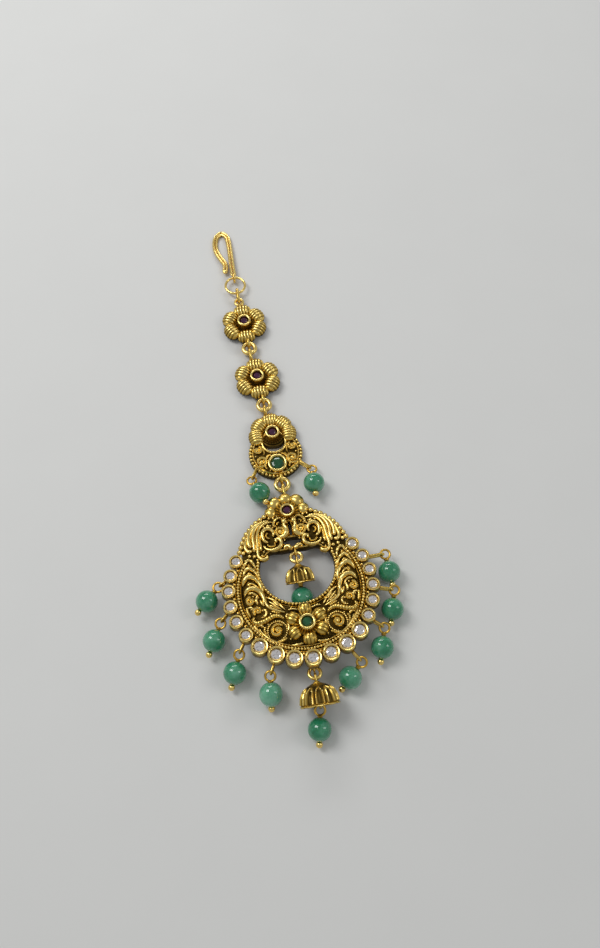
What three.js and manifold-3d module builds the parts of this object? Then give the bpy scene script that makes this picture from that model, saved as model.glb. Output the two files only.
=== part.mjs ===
// A maang tikka lying face up: hook, jump rings, two flower links, a station and an open crescent
// pendant with two small bells and ten bead drops. Millimetres, +Z up, +Y from the pendant to the hook.
// Pieces are laid out round the centre of the pendant's bezel row; the whole is centred at the end.
import * as THREE from "three";
import { mergeVertices } from "three/addons/utils/BufferGeometryUtils.js";
import Module from "manifold-3d";

const bead = { radius: 2, bore: 0.5, restHeight: 2.02 };
const pin = { wire: 0.18, loop: 0.85, wrap: 0.36, ball: 0.58, ballFromBead: 2.45 };
const sideEye = { loop: 0.55, wire: 0.18, rootInside: 0.3, pastCrossing: 0.52, rise: 0.15 };
const castEye = { loop: 0.78, wire: 0.27, sink: 0.2 };
const bellEye = { loop: 0.62, wire: 0.22 };
const jumpRing = { loop: 1.22, wire: 0.32, height: 1.2 };
const hookWire = { width: 1.15, thick: 0.56, steps: 36 };
const hookRing = { loop: 2.05, wire: 0.25, x: -2.5, y: 68.95 };
const topLink = { loop: 0.8, wire: 0.34, stretch: 1.4, x: -2.3, y: 66.1 };
const linkRings = [
  { name: "link_ring_a", x: -1.8, y: 52.7 },
  { name: "link_ring_b", x: -0.8, y: 39.1 },
  { name: "link_ring_c", x: 0.05, y: 21.5 },
];

const flowerPetal = { centre: 3.35, radial: 1.35, across: 1.5, height: 1.3, lift: 1.05 };
const flowerCup = { outer: 1.4, inner: 0.95, height: 2.75, seat: 1.5 };
const flowerBack = { radius: 2.9, thick: 0.7 };
const upperFlower = { x: -1.95, y: 58.9 };
const lowerFlower = { x: -1.2, y: 45.35 };
const station = { x: -0.15, y: 28.25, radius: 5.15, thick: 1.1, flowerY: 4.05 };
const stationHole = { y: 2.35, radius: 2.05 };
const stationCup = { y: -2.35, outer: 1.85, inner: 1.5, height: 1.9, seat: 0.9 };

const pendant = { tilt: 6, topLift: 0.4, topReach: 19.5, thick: 1.5, bandRadius: 11.9, bandStart: 38 };
const opening = { y: 4.1, radius: 6.65, wing: 22, browX: 5.3, browY: 6.6, lintelX: 4.3, lintelY: 7.5 };
const dish = { radius: 8.1, depth: 0.85 };
const crescent = { radius: 9.3, innerRadius: 8.1, hornY: 3.5, bevel: 1.1, rise: 0.75, crown: 0.25 };
const bezelRow = { radius: 12.65, height: 1.5, seat: 0.5 };
const largeBezel = { outer: 1.55, inner: 1.15, count: 3, step: 14.3 };
const smallBezel = { outer: 1.28, inner: 0.92, count: 6, step: 13.3, first: 57 };
const topBloom = { y: 15.3, backRadius: 3.1 };
const topBloomPetal = { centre: 2.6, radial: 0.95, across: 1.0, height: 1.0, lift: 1.0 };
const topBloomCup = { outer: 1.35, inner: 0.9, height: 2.4, seat: 1.3 };
const lowBloom = { y: -6.75 };
const lowBloomPetal = { centre: 2.75, radial: 1.2, across: 1.15, height: 0.9, lift: 2.0 };
const lowBloomCup = { outer: 1.45, inner: 1.05, height: 3.2, seat: 2.1, foot: 1.2 };

const bell = { wall: 0.35, sides: 20, loopStretch: 0.4, loopSink: 0.3, post: 0.24 };
const bellRing = { loop: 1.0, wire: 0.3 };
const innerBell = { rim: 2.65, length: 3.2, pitch: 3, ringY: 6.15, ringRise: 0.9, x: 0.2, eyeDepth: 1.1 };
const lowerBell = { rim: 3.4, length: 3.75, pitch: 3, ringY: -14.75, ringRise: -0.48, x: -0.15, eyeDepth: 3.3 };
const innerBead = { x: 0.05, y: -1.1 };
const lowerBead = { x: -0.85, y: -23.6 };
const stoneGap = 0.28;

// Where each bead drop lies: the casting that it hangs from, the angle of its eye round that casting
// (degrees from the bottom, positive towards +X), its bead's place on the surface, the heading of its
// pin from loop to ball (degrees from -Y, positive towards +X) and the length from loop to bead.
const drops = [
  { name: "left_1", host: "pendant", eyeAngle: -110, x: -16.6, y: 1.05, heading: -46, length: 3.15 },
  { name: "left_2", host: "pendant", eyeAngle: -83.6, x: -16.2, y: -6.1, heading: -29, length: 3.1 },
  { name: "left_3", host: "pendant", eyeAngle: -57, x: -13.4, y: -12.15, heading: -23, length: 3.1 },
  { name: "left_4", host: "pendant", eyeAngle: -28.6, x: -7.9, y: -16.65, heading: -7, length: 3.05 },
  { name: "right_4", host: "pendant", eyeAngle: 28.6, x: 5.75, y: -16.15, heading: -49, length: 3.3 },
  { name: "right_3", host: "pendant", eyeAngle: 57, x: 12.15, y: -12.0, heading: -17, length: 3.3 },
  { name: "right_2", host: "pendant", eyeAngle: 83.6, x: 15.3, y: -5.7, heading: -17, length: 3.3 },
  { name: "right_1", host: "pendant", eyeAngle: 110, x: 16.2, y: 1.1, heading: 1, length: 3.3 },
  { name: "left", host: "station", eyeAngle: -58, x: -4.4, y: 20.2, heading: 20, length: 3.3 },
  { name: "right", host: "station", eyeAngle: 58, x: 5.95, y: 20.5, heading: -3, length: 3.3 },
];

// The hook's line from its eye up the straight leg, over the bend and down to the free tip.
const hookLine = [
  { x: -2.5, y: 71.45, z: 1.15 },
  { x: -2.52, y: 74.4, z: 1.0 },
  { x: -2.45, y: 77.2, z: 0.85 },
  { x: -2.4, y: 80.2, z: 0.65 },
  { x: -2.6, y: 82.9, z: 0.45 },
  { x: -3.7, y: 84.1, z: 0.36 },
  { x: -4.95, y: 83.0, z: 0.34 },
  { x: -5.4, y: 81.0, z: 0.34 },
  { x: -5.25, y: 78.9, z: 0.45 },
  { x: -4.5, y: 76.8, z: 0.6 },
  { x: -3.9, y: 75.0, z: 0.75 },
  { x: -4.15, y: 73.2, z: 0.85 },
];

// Half of the pendant's upper edge, from the bezel row over the shoulder to the top flower.
const shoulder = [
  { x: 9.5, y: 8.7 },
  { x: 8.4, y: 11.0 },
  { x: 6.9, y: 13.3 },
  { x: 4.6, y: 14.9 },
  { x: 3.3, y: 16.4 },
];

// The masses of one peacock, half of the mirrored pair, in the pendant's plane.
const peacock = [
  { part: "breast", x: 2.15, y: 11.5, halfX: 1.35, halfY: 1.6, height: 1.1, lean: 20 },
  { part: "head", x: 1.0, y: 13.1, halfX: 0.6, halfY: 0.8, height: 0.9, lean: 0 },
  { part: "curl", x: 4.4, y: 11.3, halfX: 1.1, halfY: 1.3, height: 0.9, lean: 30 },
  { part: "wing", x: 5.9, y: 10.4, halfX: 1.1, halfY: 3.2, height: 0.8, lean: 25 },
  { part: "foot", x: 3.0, y: 9.0, halfX: 1.3, halfY: 1.0, height: 0.7, lean: 0 },
  { part: "leaf", x: 8.1, y: 8.6, halfX: 0.8, halfY: 1.8, height: 0.6, lean: 30 },
];

const flowerTip = flowerPetal.centre + flowerPetal.radial;
const flowerAngles = [0, 60, 120, 180, 240, 300];
const topPetalAngles = [0, 47, -47, 93, -93];
const lowPetalAngles = [0, 62, 118, 180, -118, -62];

const wasm = await Module();
wasm.setup();

const right = new THREE.Vector3(1, 0, 0);
const ahead = new THREE.Vector3(0, 1, 0);
const up = new THREE.Vector3(0, 0, 1);
const rad = THREE.MathUtils.degToRad;
const at = (x, y, z) => new THREE.Matrix4().makeTranslation(x, y, z);
const standUp = new THREE.Matrix4().makeRotationX(Math.PI / 2);

// A direction in the flat, counted from the bottom round towards +X.
function outward(degrees) {
  return new THREE.Vector3(Math.sin(rad(degrees)), -Math.cos(rad(degrees)), 0);
}

// Closed geometry to a solid, turned outwards where its profile ran the other way.
function solid(geometry, place = new THREE.Matrix4()) {
  const loose = geometry.index ? geometry.toNonIndexed() : geometry;
  const bare = new THREE.BufferGeometry();
  bare.setAttribute("position", loose.getAttribute("position").clone());
  bare.applyMatrix4(place);
  const merged = mergeVertices(bare, 1e-4);
  const corners = merged.index.array;
  const kept = [];
  for (let i = 0; i < corners.length; i += 3) {
    const [a, b, c] = [corners[i], corners[i + 1], corners[i + 2]];
    if (a !== b && b !== c && c !== a) kept.push(a, b, c);
  }
  const vertProperties = merged.attributes.position.array;
  const build = (list) => {
    return new wasm.Manifold(new wasm.Mesh({ numProp: 3, vertProperties, triVerts: new Uint32Array(list) }));
  };
  const made = build(kept);
  return made.volume() < 0 ? build(kept.reverse()) : made;
}

function join(solids) {
  return solids.reduce((whole, piece) => whole.add(piece));
}

function geometryOf(body) {
  const mesh = body.getMesh();
  const corners = new Float32Array(mesh.numVert * 3);
  for (let i = 0; i < mesh.numVert; i++) {
    corners.set(mesh.vertProperties.subarray(i * mesh.numProp, i * mesh.numProp + 3), i * 3);
  }
  const indexed = new THREE.BufferGeometry();
  indexed.setAttribute("position", new THREE.BufferAttribute(corners, 3));
  indexed.setIndex(new THREE.BufferAttribute(mesh.triVerts, 1));
  const geometry = indexed.toNonIndexed();
  geometry.computeVertexNormals();
  return geometry;
}

// A wire ring in the plane of two directions; stretch pulls it into a long link along the first.
function wireRing({ loop, wire }, centre, along, across, stretch = 0) {
  const ring = new THREE.TorusGeometry(loop, wire, 6, 12);
  const corners = ring.getAttribute("position");
  for (let i = 0; i < corners.count; i++) {
    corners.setX(i, corners.getX(i) + (Math.sign(corners.getX(i)) * stretch) / 2);
  }
  const first = along.clone().normalize();
  const third = first.clone().cross(across).normalize();
  const second = third.clone().cross(first);
  return solid(ring, new THREE.Matrix4().makeBasis(first, second, third).setPosition(centre));
}

function flatRing(size, x, y, z) {
  return wireRing(size, new THREE.Vector3(x, y, z), ahead, right);
}

function uprightRing(size, x, y, z, stretch) {
  return wireRing(size, new THREE.Vector3(x, y, z), ahead, up, stretch);
}

function rod(from, to, radius) {
  const line = to.clone().sub(from);
  const turn = new THREE.Quaternion().setFromUnitVectors(ahead, line.clone().normalize());
  const middle = from.clone().addScaledVector(line, 0.5);
  const place = new THREE.Matrix4().compose(middle, turn, new THREE.Vector3(1, 1, 1));
  return solid(new THREE.CylinderGeometry(radius, radius, line.length(), 6), place);
}

function disc(x, y, z, radius, thick, sides) {
  return solid(new THREE.CylinderGeometry(radius, radius, thick, sides), at(x, y, z).multiply(standUp));
}

function block(x, y, wide, long, bottom, top) {
  return solid(new THREE.BoxGeometry(wide, long, top - bottom), at(x, y, (top + bottom) / 2));
}

function ellipsoid(x, y, z, halfX, halfY, halfZ, turn) {
  const place = at(x, y, z).multiply(new THREE.Matrix4().makeRotationZ(rad(turn)));
  place.multiply(new THREE.Matrix4().makeScale(halfX, halfY, halfZ));
  return solid(new THREE.SphereGeometry(1, 8, 5), place);
}

function turned(profile, sides, place) {
  const points = profile.map(([r, h]) => new THREE.Vector2(r, h));
  return solid(new THREE.LatheGeometry(points, sides), place);
}

// A round setting: a tube closed by the seat of its stone.
function cup(x, y, { outer, inner, height, seat, foot = 0 }, sides = 14) {
  const profile = [
    [0, foot],
    [outer, foot],
    [outer, height],
    [inner, height],
    [inner, seat],
    [0, seat],
  ];
  return turned(profile, sides, at(x, y, 0).multiply(standUp));
}

// Everything below the back plane is cut away, so a casting has a flat back.
function flatBacked(body) {
  return body.subtract(block(0, 0, 80, 80, -20, 0));
}

// Petal angles are degrees from the top, positive towards -X.
function petals(x, y, angles, { centre, radial, across, height, lift }) {
  return angles.map((angle) => {
    const px = x - centre * Math.sin(rad(angle));
    const py = y + centre * Math.cos(rad(angle));
    return ellipsoid(px, py, lift, across, radial, height, angle);
  });
}

function plate(shape, thick, curveSegments) {
  return solid(new THREE.ExtrudeGeometry(shape, { depth: thick, bevelEnabled: false, curveSegments }));
}

function hookSolid() {
  const line = new THREE.CatmullRomCurve3(hookLine.map(({ x, y, z }) => new THREE.Vector3(x, y, z)));
  const section = new THREE.Shape();
  section.absellipse(0, 0, hookWire.width / 2, hookWire.thick / 2, 0, Math.PI * 2, false, 0);
  const strip = new THREE.ExtrudeGeometry(section, {
    steps: hookWire.steps,
    extrudePath: line,
    curveSegments: 4,
  });
  return solid(strip).add(uprightRing(castEye, hookLine[0].x, hookLine[0].y - 0.55, hookLine[0].z));
}

// An upright eye of a casting, its hole round the near wire of a jump ring ahead (1) or behind (-1).
function eyeRound(ring, host, side, tip) {
  const crossing = ring.y - host.y - side * jumpRing.loop;
  const outerEnd = crossing + side * castEye.loop;
  const innerEnd = side * (tip - castEye.sink);
  const stretch = Math.max(side * (outerEnd - innerEnd) - 2 * castEye.loop, 0);
  const centre = outerEnd - side * (castEye.loop + stretch / 2);
  return uprightRing(castEye, ring.x - host.x, centre, jumpRing.height, stretch);
}

function flowerSolid(eyes) {
  const body = flatBacked(
    join([
      disc(0, 0, flowerBack.thick / 2, flowerBack.radius, flowerBack.thick, 16),
      ...petals(0, 0, flowerAngles, flowerPetal),
      cup(0, 0, flowerCup),
    ]),
  );
  return join([body, ...eyes]);
}

function stoneSolid(inner, height) {
  const girdle = inner - stoneGap;
  const profile = [
    [0, 0],
    [girdle * 0.6, 0],
    [girdle, height * 0.5],
    [girdle * 0.65, height],
    [0, height],
  ];
  return turned(profile, 8, standUp);
}

function beadSolid() {
  const half = Math.acos(bead.bore / bead.radius);
  const bands = 6;
  const profile = [];
  for (let i = 0; i <= bands; i++) {
    const a = half * ((2 * i) / bands - 1);
    profile.push([bead.radius * Math.cos(a), bead.radius * Math.sin(a)]);
  }
  return turned([...profile, profile[0]], 12, new THREE.Matrix4());
}

// A headpin from its wire loop through a bead to its ball end.
function pinSolid({ loopCentre, beadCentre, along }) {
  const across = up.clone().cross(along).normalize();
  const stemStart = loopCentre.clone().addScaledVector(along, pin.loop);
  const ballCentre = beadCentre.clone().addScaledVector(along, pin.ballFromBead);
  const wrapStart = stemStart.clone().addScaledVector(along, 0.05);
  const wrapEnd = beadCentre.clone().addScaledVector(along, -bead.radius - 0.08);
  const parts = [
    wireRing(pin, loopCentre, along, across),
    rod(stemStart, ballCentre, pin.wire + 0.02),
    solid(new THREE.SphereGeometry(pin.ball, 7, 5), at(ballCentre.x, ballCentre.y, ballCentre.z)),
  ];
  if (wrapEnd.clone().sub(wrapStart).dot(along) > 0.1) parts.push(rod(wrapStart, wrapEnd, pin.wrap));
  return join(parts);
}

// How a drop lies: its pin slopes from the eye at the casting's back edge down to the resting bead.
function layDrop(drop, anchor, anchorRadius, backHeight) {
  const heading = outward(drop.heading);
  const beadCentre = new THREE.Vector3(drop.x, drop.y, bead.restHeight);
  const slope = Math.asin((backHeight - bead.restHeight) / (drop.length + pin.loop));
  const along = heading.clone().multiplyScalar(Math.cos(slope)).setZ(-Math.sin(slope));
  const loopCentre = beadCentre.clone().addScaledVector(along, -drop.length);
  const toAnchor = anchor.clone().sub(loopCentre).setZ(0);
  const side = up.clone().cross(heading);
  const crossing = loopCentre.clone();
  const reach = toAnchor.clone().normalize();
  crossing.addScaledVector(along, pin.loop * reach.dot(heading));
  crossing.addScaledVector(side, pin.loop * reach.dot(side));
  const away = reach.clone().negate();
  const edge = anchor.clone().setZ(0).addScaledVector(away, anchorRadius);
  const inner = edge.addScaledVector(away, -sideEye.rootInside);
  const length = crossing.clone().setZ(0).sub(inner).dot(away) + sideEye.pastCrossing;
  const centre = inner.clone().addScaledVector(away, length / 2).setZ(crossing.z + sideEye.rise);
  const eye = wireRing(sideEye, centre, away, up, Math.max(length - 2 * sideEye.loop, 0));
  return { beadCentre, along, loopCentre, eye };
}

// The pendant is drawn in its own plane; this places that plane, dipped towards the hook.
const pendantLift = pendant.topLift + pendant.topReach * Math.sin(rad(pendant.tilt));
const pendantPlace = at(0, 0, pendantLift).multiply(new THREE.Matrix4().makeRotationX(rad(-pendant.tilt)));

function onPendant(x, y, rise) {
  return new THREE.Vector3(x, y, rise).applyMatrix4(pendantPlace);
}

function bezelSpots() {
  const spots = [{ angle: 0, ...largeBezel }];
  for (const side of [-1, 1]) {
    for (let i = 1; i <= largeBezel.count; i++) {
      spots.push({ angle: side * i * largeBezel.step, ...largeBezel });
    }
    for (let i = 0; i < smallBezel.count; i++) {
      spots.push({ angle: side * (smallBezel.first + i * smallBezel.step), ...smallBezel });
    }
  }
  return spots;
}

function hang(drop) {
  if (drop.host === "station") {
    const rim = station.radius - 0.6;
    const anchor = outward(drop.eyeAngle).multiplyScalar(rim).add(new THREE.Vector3(station.x, station.y, 0));
    return layDrop(drop, anchor, 0.6, jumpRing.height - 0.1);
  }
  const { x, y } = outward(drop.eyeAngle).multiplyScalar(bezelRow.radius);
  const large = Math.abs(drop.eyeAngle) < smallBezel.first - 1;
  const anchor = onPendant(x, y, 0);
  return layDrop(drop, anchor, large ? largeBezel.outer : smallBezel.outer, anchor.z + 0.1);
}

function stationSolid() {
  const outline = new THREE.Shape();
  outline.absarc(0, 0, station.radius, 0, Math.PI * 2, false);
  const hole = new THREE.Path();
  hole.absarc(0, stationHole.y, stationHole.radius, 0, Math.PI * 2, true);
  outline.holes.push(hole);
  const webs = [-1, 1].map((side) => block(2.6 * side, station.flowerY - 0.2, 1.6, 2.4, 0, station.thick));
  const body = flatBacked(
    join([
      plate(outline, station.thick, 14),
      ...petals(0, station.flowerY, topPetalAngles, flowerPetal),
      block(0, station.flowerY + 1.7, 3.6, 1.5, 0, 1.5),
      ...webs,
      cup(0, station.flowerY, flowerCup),
      cup(0, stationCup.y, stationCup),
    ]),
  );
  const topEye = eyeRound(linkRings[1], station, 1, station.flowerY + flowerTip);
  const lowEye = eyeRound(linkRings[2], station, -1, station.radius);
  return join([body, topEye, lowEye]);
}

function pendantOutline() {
  const band = rad(pendant.bandStart);
  const outline = new THREE.Shape();
  outline.absarc(0, 0, pendant.bandRadius, Math.PI - band, band, false);
  outline.splineThru(shoulder.map(({ x, y }) => new THREE.Vector2(x, y)));
  outline.absarc(0, topBloom.y, topBloom.backRadius, rad(22), rad(158), false);
  outline.splineThru([...shoulder].reverse().map(({ x, y }) => new THREE.Vector2(-x, y)));

  const gap = new THREE.Path();
  gap.absarc(0, opening.y, opening.radius, rad(opening.wing), rad(180 - opening.wing), true);
  gap.lineTo(-opening.browX, opening.browY);
  gap.lineTo(-opening.lintelX, opening.lintelY);
  gap.lineTo(opening.lintelX, opening.lintelY);
  gap.lineTo(opening.browX, opening.browY);
  const windowGap = new THREE.Path();
  windowGap.absellipse(0, 9.25, 1.6, 0.75, 0, Math.PI * 2, true, 0);
  const slot = new THREE.Path();
  slot.absellipse(0, 12.0, 0.3, 1.5, 0, Math.PI * 2, true, 0);
  outline.holes.push(gap, windowGap, slot);
  return outline;
}

function crescentDome() {
  const outerEnd = Math.asin(crescent.hornY / crescent.radius);
  const innerEnd = Math.asin((crescent.hornY - opening.y) / crescent.innerRadius);
  const moon = new THREE.Shape();
  moon.absarc(0, 0, crescent.radius, Math.PI - outerEnd, outerEnd, false);
  moon.absarc(0, opening.y, crescent.innerRadius, innerEnd, Math.PI - innerEnd, true);
  const dome = new THREE.ExtrudeGeometry(moon, {
    depth: crescent.crown,
    bevelSize: crescent.bevel,
    bevelThickness: crescent.rise,
    bevelSegments: 2,
    curveSegments: 11,
  });
  return solid(dome, at(0, 0, dish.depth + 0.05 + crescent.rise));
}

function pendantSolid(sideEyes) {
  const base = plate(pendantOutline(), pendant.thick, 11);
  const hollow = disc(0, opening.y, dish.depth - 1, dish.radius, 2, 24);
  const cups = bezelSpots().map(({ angle, outer, inner }) => {
    const { x, y } = outward(angle).multiplyScalar(bezelRow.radius);
    return cup(x, y, { outer, inner, height: bezelRow.height, seat: bezelRow.seat }, 10);
  });
  const birds = [-1, 1].flatMap((side) =>
    peacock.map(({ x, y, halfX, halfY, height, lean }) => {
      return ellipsoid(x * side, y, pendant.thick, halfX, halfY, height, lean * side);
    }),
  );
  const reliefs = join([...birds, ...petals(0, lowBloom.y, lowPetalAngles, lowBloomPetal)]);
  const face = reliefs.subtract(block(0, 0, 40, 60, -5, dish.depth + 0.05));
  const bloom = flatBacked(join(petals(0, topBloom.y, topPetalAngles, topBloomPetal)));
  const seatRoom = block(0, lowBloom.y, 2, 2, lowBloomCup.seat, 5);
  const body = join([
    base.subtract(hollow),
    crescentDome().subtract(seatRoom),
    ...cups,
    face,
    bloom,
    cup(0, topBloom.y, topBloomCup),
    cup(0, lowBloom.y, lowBloomCup),
    uprightRing(castEye, 0.1, 20.1, 0.9, 0.9),
    uprightRing(bellEye, innerBell.x, innerBell.ringY + bellRing.loop, innerBell.ringRise),
    uprightRing(bellEye, lowerBell.x, lowerBell.ringY + bellRing.loop, lowerBell.ringRise),
  ]);
  const toPlane = pendantPlace.clone().invert();
  return sideEyes.reduce((whole, eye) => whole.add(eye.transform(toPlane.elements)), body);
}

// A bell lies on its rim: its axis runs from the neck towards -Y and dips by its pitch.
function bellLay({ pitch, rim, length, ringY, ringRise, x }) {
  const axis = new THREE.Vector3(0, -Math.cos(rad(pitch)), -Math.sin(rad(pitch)));
  const ringEnd = onPendant(x, ringY - bellRing.loop, ringRise);
  const loopReach = bellEye.loop + bellEye.wire + bell.loopStretch / 2 - bell.loopSink;
  const neck = new THREE.Vector3(x, ringEnd.y + axis.y * loopReach, 0);
  neck.z = rim * Math.cos(rad(pitch)) + 0.05 + length * Math.sin(rad(pitch));
  const loopCentre = neck.clone().addScaledVector(axis, -loopReach);
  return { axis, neck, loopCentre };
}

function bellSolid(size) {
  const { axis, neck, loopCentre } = bellLay(size);
  const outline = (r, l) => [
    [0, 0],
    [r * 0.38, l * 0.05],
    [r * 0.68, l * 0.28],
    [r * 0.88, l * 0.6],
    [r, l],
  ];
  const outside = outline(size.rim, size.length);
  const inside = outline(size.rim - bell.wall, size.length - bell.wall).map(([r, l]) => [r, l + bell.wall]);
  const turn = new THREE.Quaternion().setFromUnitVectors(ahead, axis);
  const place = new THREE.Matrix4().compose(neck, turn, new THREE.Vector3(1, 1, 1));
  const innerEye = neck.clone().addScaledVector(axis, size.eyeDepth);
  const parts = [
    turned([...outside, ...inside.reverse()], bell.sides, place),
    wireRing(bellEye, loopCentre, axis, up, bell.loopStretch),
    wireRing(bellEye, innerEye, axis, up),
  ];
  const postEnd = size.eyeDepth - bellEye.loop;
  if (postEnd > 0.6) {
    const start = neck.clone().addScaledVector(axis, 0.1);
    parts.push(rod(start, neck.clone().addScaledVector(axis, postEnd), bell.post));
  }
  return join(parts);
}

// The bead under a bell: its pin's loop crosses the eye inside that bell.
function bellDrop(size, { x, y }) {
  const { axis, neck } = bellLay(size);
  const crossing = neck.clone().addScaledVector(axis, size.eyeDepth + 0.2);
  const beadCentre = new THREE.Vector3(x, y, bead.restHeight);
  const along = beadCentre.clone().sub(crossing).normalize();
  return { beadCentre, along, loopCentre: crossing.clone().addScaledVector(along, pin.loop) };
}

const gold = { color: 0xb8923e, roughness: 0.38, metalness: 1 };
const wireGold = { color: 0xcda94f, roughness: 0.3, metalness: 1 };
const beadGreen = { color: 0x1f7a4c, roughness: 0.22, metalness: 0 };
const purple = { color: 0x5a2a6e, roughness: 0.15, metalness: 0 };
const green = { color: 0x0f5a43, roughness: 0.15, metalness: 0 };

const lay = new THREE.Group();

function place(name, body, finish, x = 0, y = 0, z = 0, parent = lay) {
  const mesh = new THREE.Mesh(geometryOf(body), new THREE.MeshStandardMaterial(finish));
  mesh.name = name;
  mesh.position.set(x, y, z);
  parent.add(mesh);
  return mesh;
}

function placeDrop(beadName, pinName, drop) {
  const mesh = place(beadName, beadSolid(), beadGreen, ...drop.beadCentre.toArray());
  mesh.quaternion.setFromUnitVectors(ahead, drop.along);
  place(pinName, pinSolid(drop), wireGold);
}

const laid = drops.map((drop) => ({ ...drop, ...hang(drop) }));
const eyesOf = (host) => laid.filter((drop) => drop.host === host).map((drop) => drop.eye);

place("hook", hookSolid(), wireGold);
place("hook_ring", flatRing(hookRing, 0, 0, 0), wireGold, hookRing.x, hookRing.y, jumpRing.height);
place("top_link", uprightRing(topLink, 0, 0, 0, topLink.stretch), wireGold, topLink.x, topLink.y, jumpRing.height);
const [ringA, ringB] = linkRings;
const flatEye = flatRing(castEye, topLink.x - upperFlower.x, flowerTip + 0.87, jumpRing.height);
const upperEyes = [flatEye, eyeRound(ringA, upperFlower, -1, flowerTip)];
const lowerEyes = [eyeRound(ringA, lowerFlower, 1, flowerTip), eyeRound(ringB, lowerFlower, -1, flowerTip)];
place("flower_link_upper", flowerSolid(upperEyes), gold, upperFlower.x, upperFlower.y);
place("flower_link_lower", flowerSolid(lowerEyes), gold, lowerFlower.x, lowerFlower.y);
for (const { name, x, y } of linkRings) {
  place(name, flatRing(jumpRing, 0, 0, 0), wireGold, x, y, jumpRing.height);
}
const stationEyes = eyesOf("station").map((eye) => eye.translate([-station.x, -station.y, 0]));
place("station", join([stationSolid(), ...stationEyes]), gold, station.x, station.y);

const tilted = new THREE.Group();
tilted.position.z = pendantLift;
tilted.rotation.x = rad(-pendant.tilt);
lay.add(tilted);
place("pendant", pendantSolid(eyesOf("pendant")), gold, 0, 0, 0, tilted);
place("inner_ring", flatRing(bellRing, 0, 0, 0), wireGold, innerBell.x, innerBell.ringY, innerBell.ringRise, tilted);
place("lower_ring", flatRing(bellRing, 0, 0, 0), wireGold, lowerBell.x, lowerBell.ringY, lowerBell.ringRise, tilted);
place("inner_bell", bellSolid(innerBell), gold);
place("lower_bell", bellSolid(lowerBell), gold);
placeDrop("inner_bead", "inner_pin", bellDrop(innerBell, innerBead));
placeDrop("lower_bead", "lower_pin", bellDrop(lowerBell, lowerBead));
for (const drop of laid) {
  const prefix = drop.host === "station" ? "station_" : "";
  placeDrop(`${prefix}bead_${drop.name}`, `${prefix}pin_${drop.name}`, drop);
}

const stones = [
  { name: "stone_flower_upper", x: upperFlower.x, y: upperFlower.y, cup: flowerCup, finish: purple, parent: lay },
  { name: "stone_flower_lower", x: lowerFlower.x, y: lowerFlower.y, cup: flowerCup, finish: purple, parent: lay },
  { name: "stone_station_purple", x: station.x, y: station.y + station.flowerY, cup: flowerCup, finish: purple, parent: lay },
  { name: "stone_station_green", x: station.x, y: station.y + stationCup.y, cup: stationCup, finish: green, parent: lay },
  { name: "stone_pendant_purple", x: 0, y: topBloom.y, cup: topBloomCup, finish: purple, parent: tilted },
  { name: "stone_pendant_green", x: 0, y: lowBloom.y, cup: lowBloomCup, finish: green, parent: tilted },
];
for (const { name, x, y, cup: seatCup, finish, parent } of stones) {
  const height = seatCup.height - seatCup.seat - stoneGap;
  place(name, stoneSolid(seatCup.inner, height), finish, x, y, seatCup.seat + stoneGap, parent);
}

const tikka = new THREE.Group();
tikka.add(lay);
const box = new THREE.Box3().setFromObject(tikka, true);
const middle = box.getCenter(new THREE.Vector3());
lay.position.set(-middle.x, -middle.y, -box.min.z);

export default tikka;
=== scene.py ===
import bmesh
import bpy
import math
import numpy as np
from mathutils import Matrix, Vector


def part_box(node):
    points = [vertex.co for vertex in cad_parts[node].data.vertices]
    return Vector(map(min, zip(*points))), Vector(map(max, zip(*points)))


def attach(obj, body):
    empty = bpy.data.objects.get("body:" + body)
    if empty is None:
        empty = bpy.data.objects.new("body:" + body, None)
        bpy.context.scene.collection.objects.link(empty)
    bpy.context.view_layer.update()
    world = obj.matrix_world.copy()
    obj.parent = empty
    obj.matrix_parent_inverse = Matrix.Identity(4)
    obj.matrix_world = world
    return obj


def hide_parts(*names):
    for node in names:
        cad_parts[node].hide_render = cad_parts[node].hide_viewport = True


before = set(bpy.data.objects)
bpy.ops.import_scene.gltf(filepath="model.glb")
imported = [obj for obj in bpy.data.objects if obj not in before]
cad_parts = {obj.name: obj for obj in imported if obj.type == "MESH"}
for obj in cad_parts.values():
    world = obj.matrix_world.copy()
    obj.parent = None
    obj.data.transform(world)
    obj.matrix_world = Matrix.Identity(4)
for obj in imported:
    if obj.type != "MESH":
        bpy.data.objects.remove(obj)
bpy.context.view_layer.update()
print("frame loaded, nodes:", len(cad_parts))

# a shape is (points in mm, faces, height of each point in the relief from 0 to 1)


def boxMiddle(node):
    low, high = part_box(node)
    return (np.array(low) + np.array(high)) * 500.0


def joinShapes(shapes):
    points, faces, highs, count = [], [], [], 0
    for shapePoints, shapeFaces, shapeHighs in shapes:
        points.append(np.asarray(shapePoints, float))
        highs.append(np.asarray(shapeHighs, float))
        faces += [tuple(corner + count for corner in face) for face in shapeFaces]
        count += len(shapePoints)
    return np.vstack(points), faces, np.concatenate(highs)


def moved(shape, x=0.0, y=0.0, z=0.0, turn=0.0):
    points = shape[0]
    c, s = math.cos(math.radians(turn)), math.sin(math.radians(turn))
    spun = np.c_[points[:, 0] * c - points[:, 1] * s, points[:, 0] * s + points[:, 1] * c, points[:, 2]]
    return spun + np.array([x, y, z]), shape[1], shape[2]


def placed(shape, matrix):
    m = np.array(matrix)
    return shape[0] @ m[:3, :3].T + m[:3, 3], shape[1], shape[2]


def mirrored(shape):
    return shape[0] * np.array([-1, 1, 1]), [tuple(reversed(face)) for face in shape[1]], shape[2]


def bothSides(shape):
    return [shape, mirrored(shape)]


def onFloor(shape):
    return np.c_[shape[0][:, :2], np.maximum(shape[0][:, 2], 0)], shape[1], shape[2]


def toned(shape, low, high):
    return shape[0], shape[1], low + (high - low) * shape[2]


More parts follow.
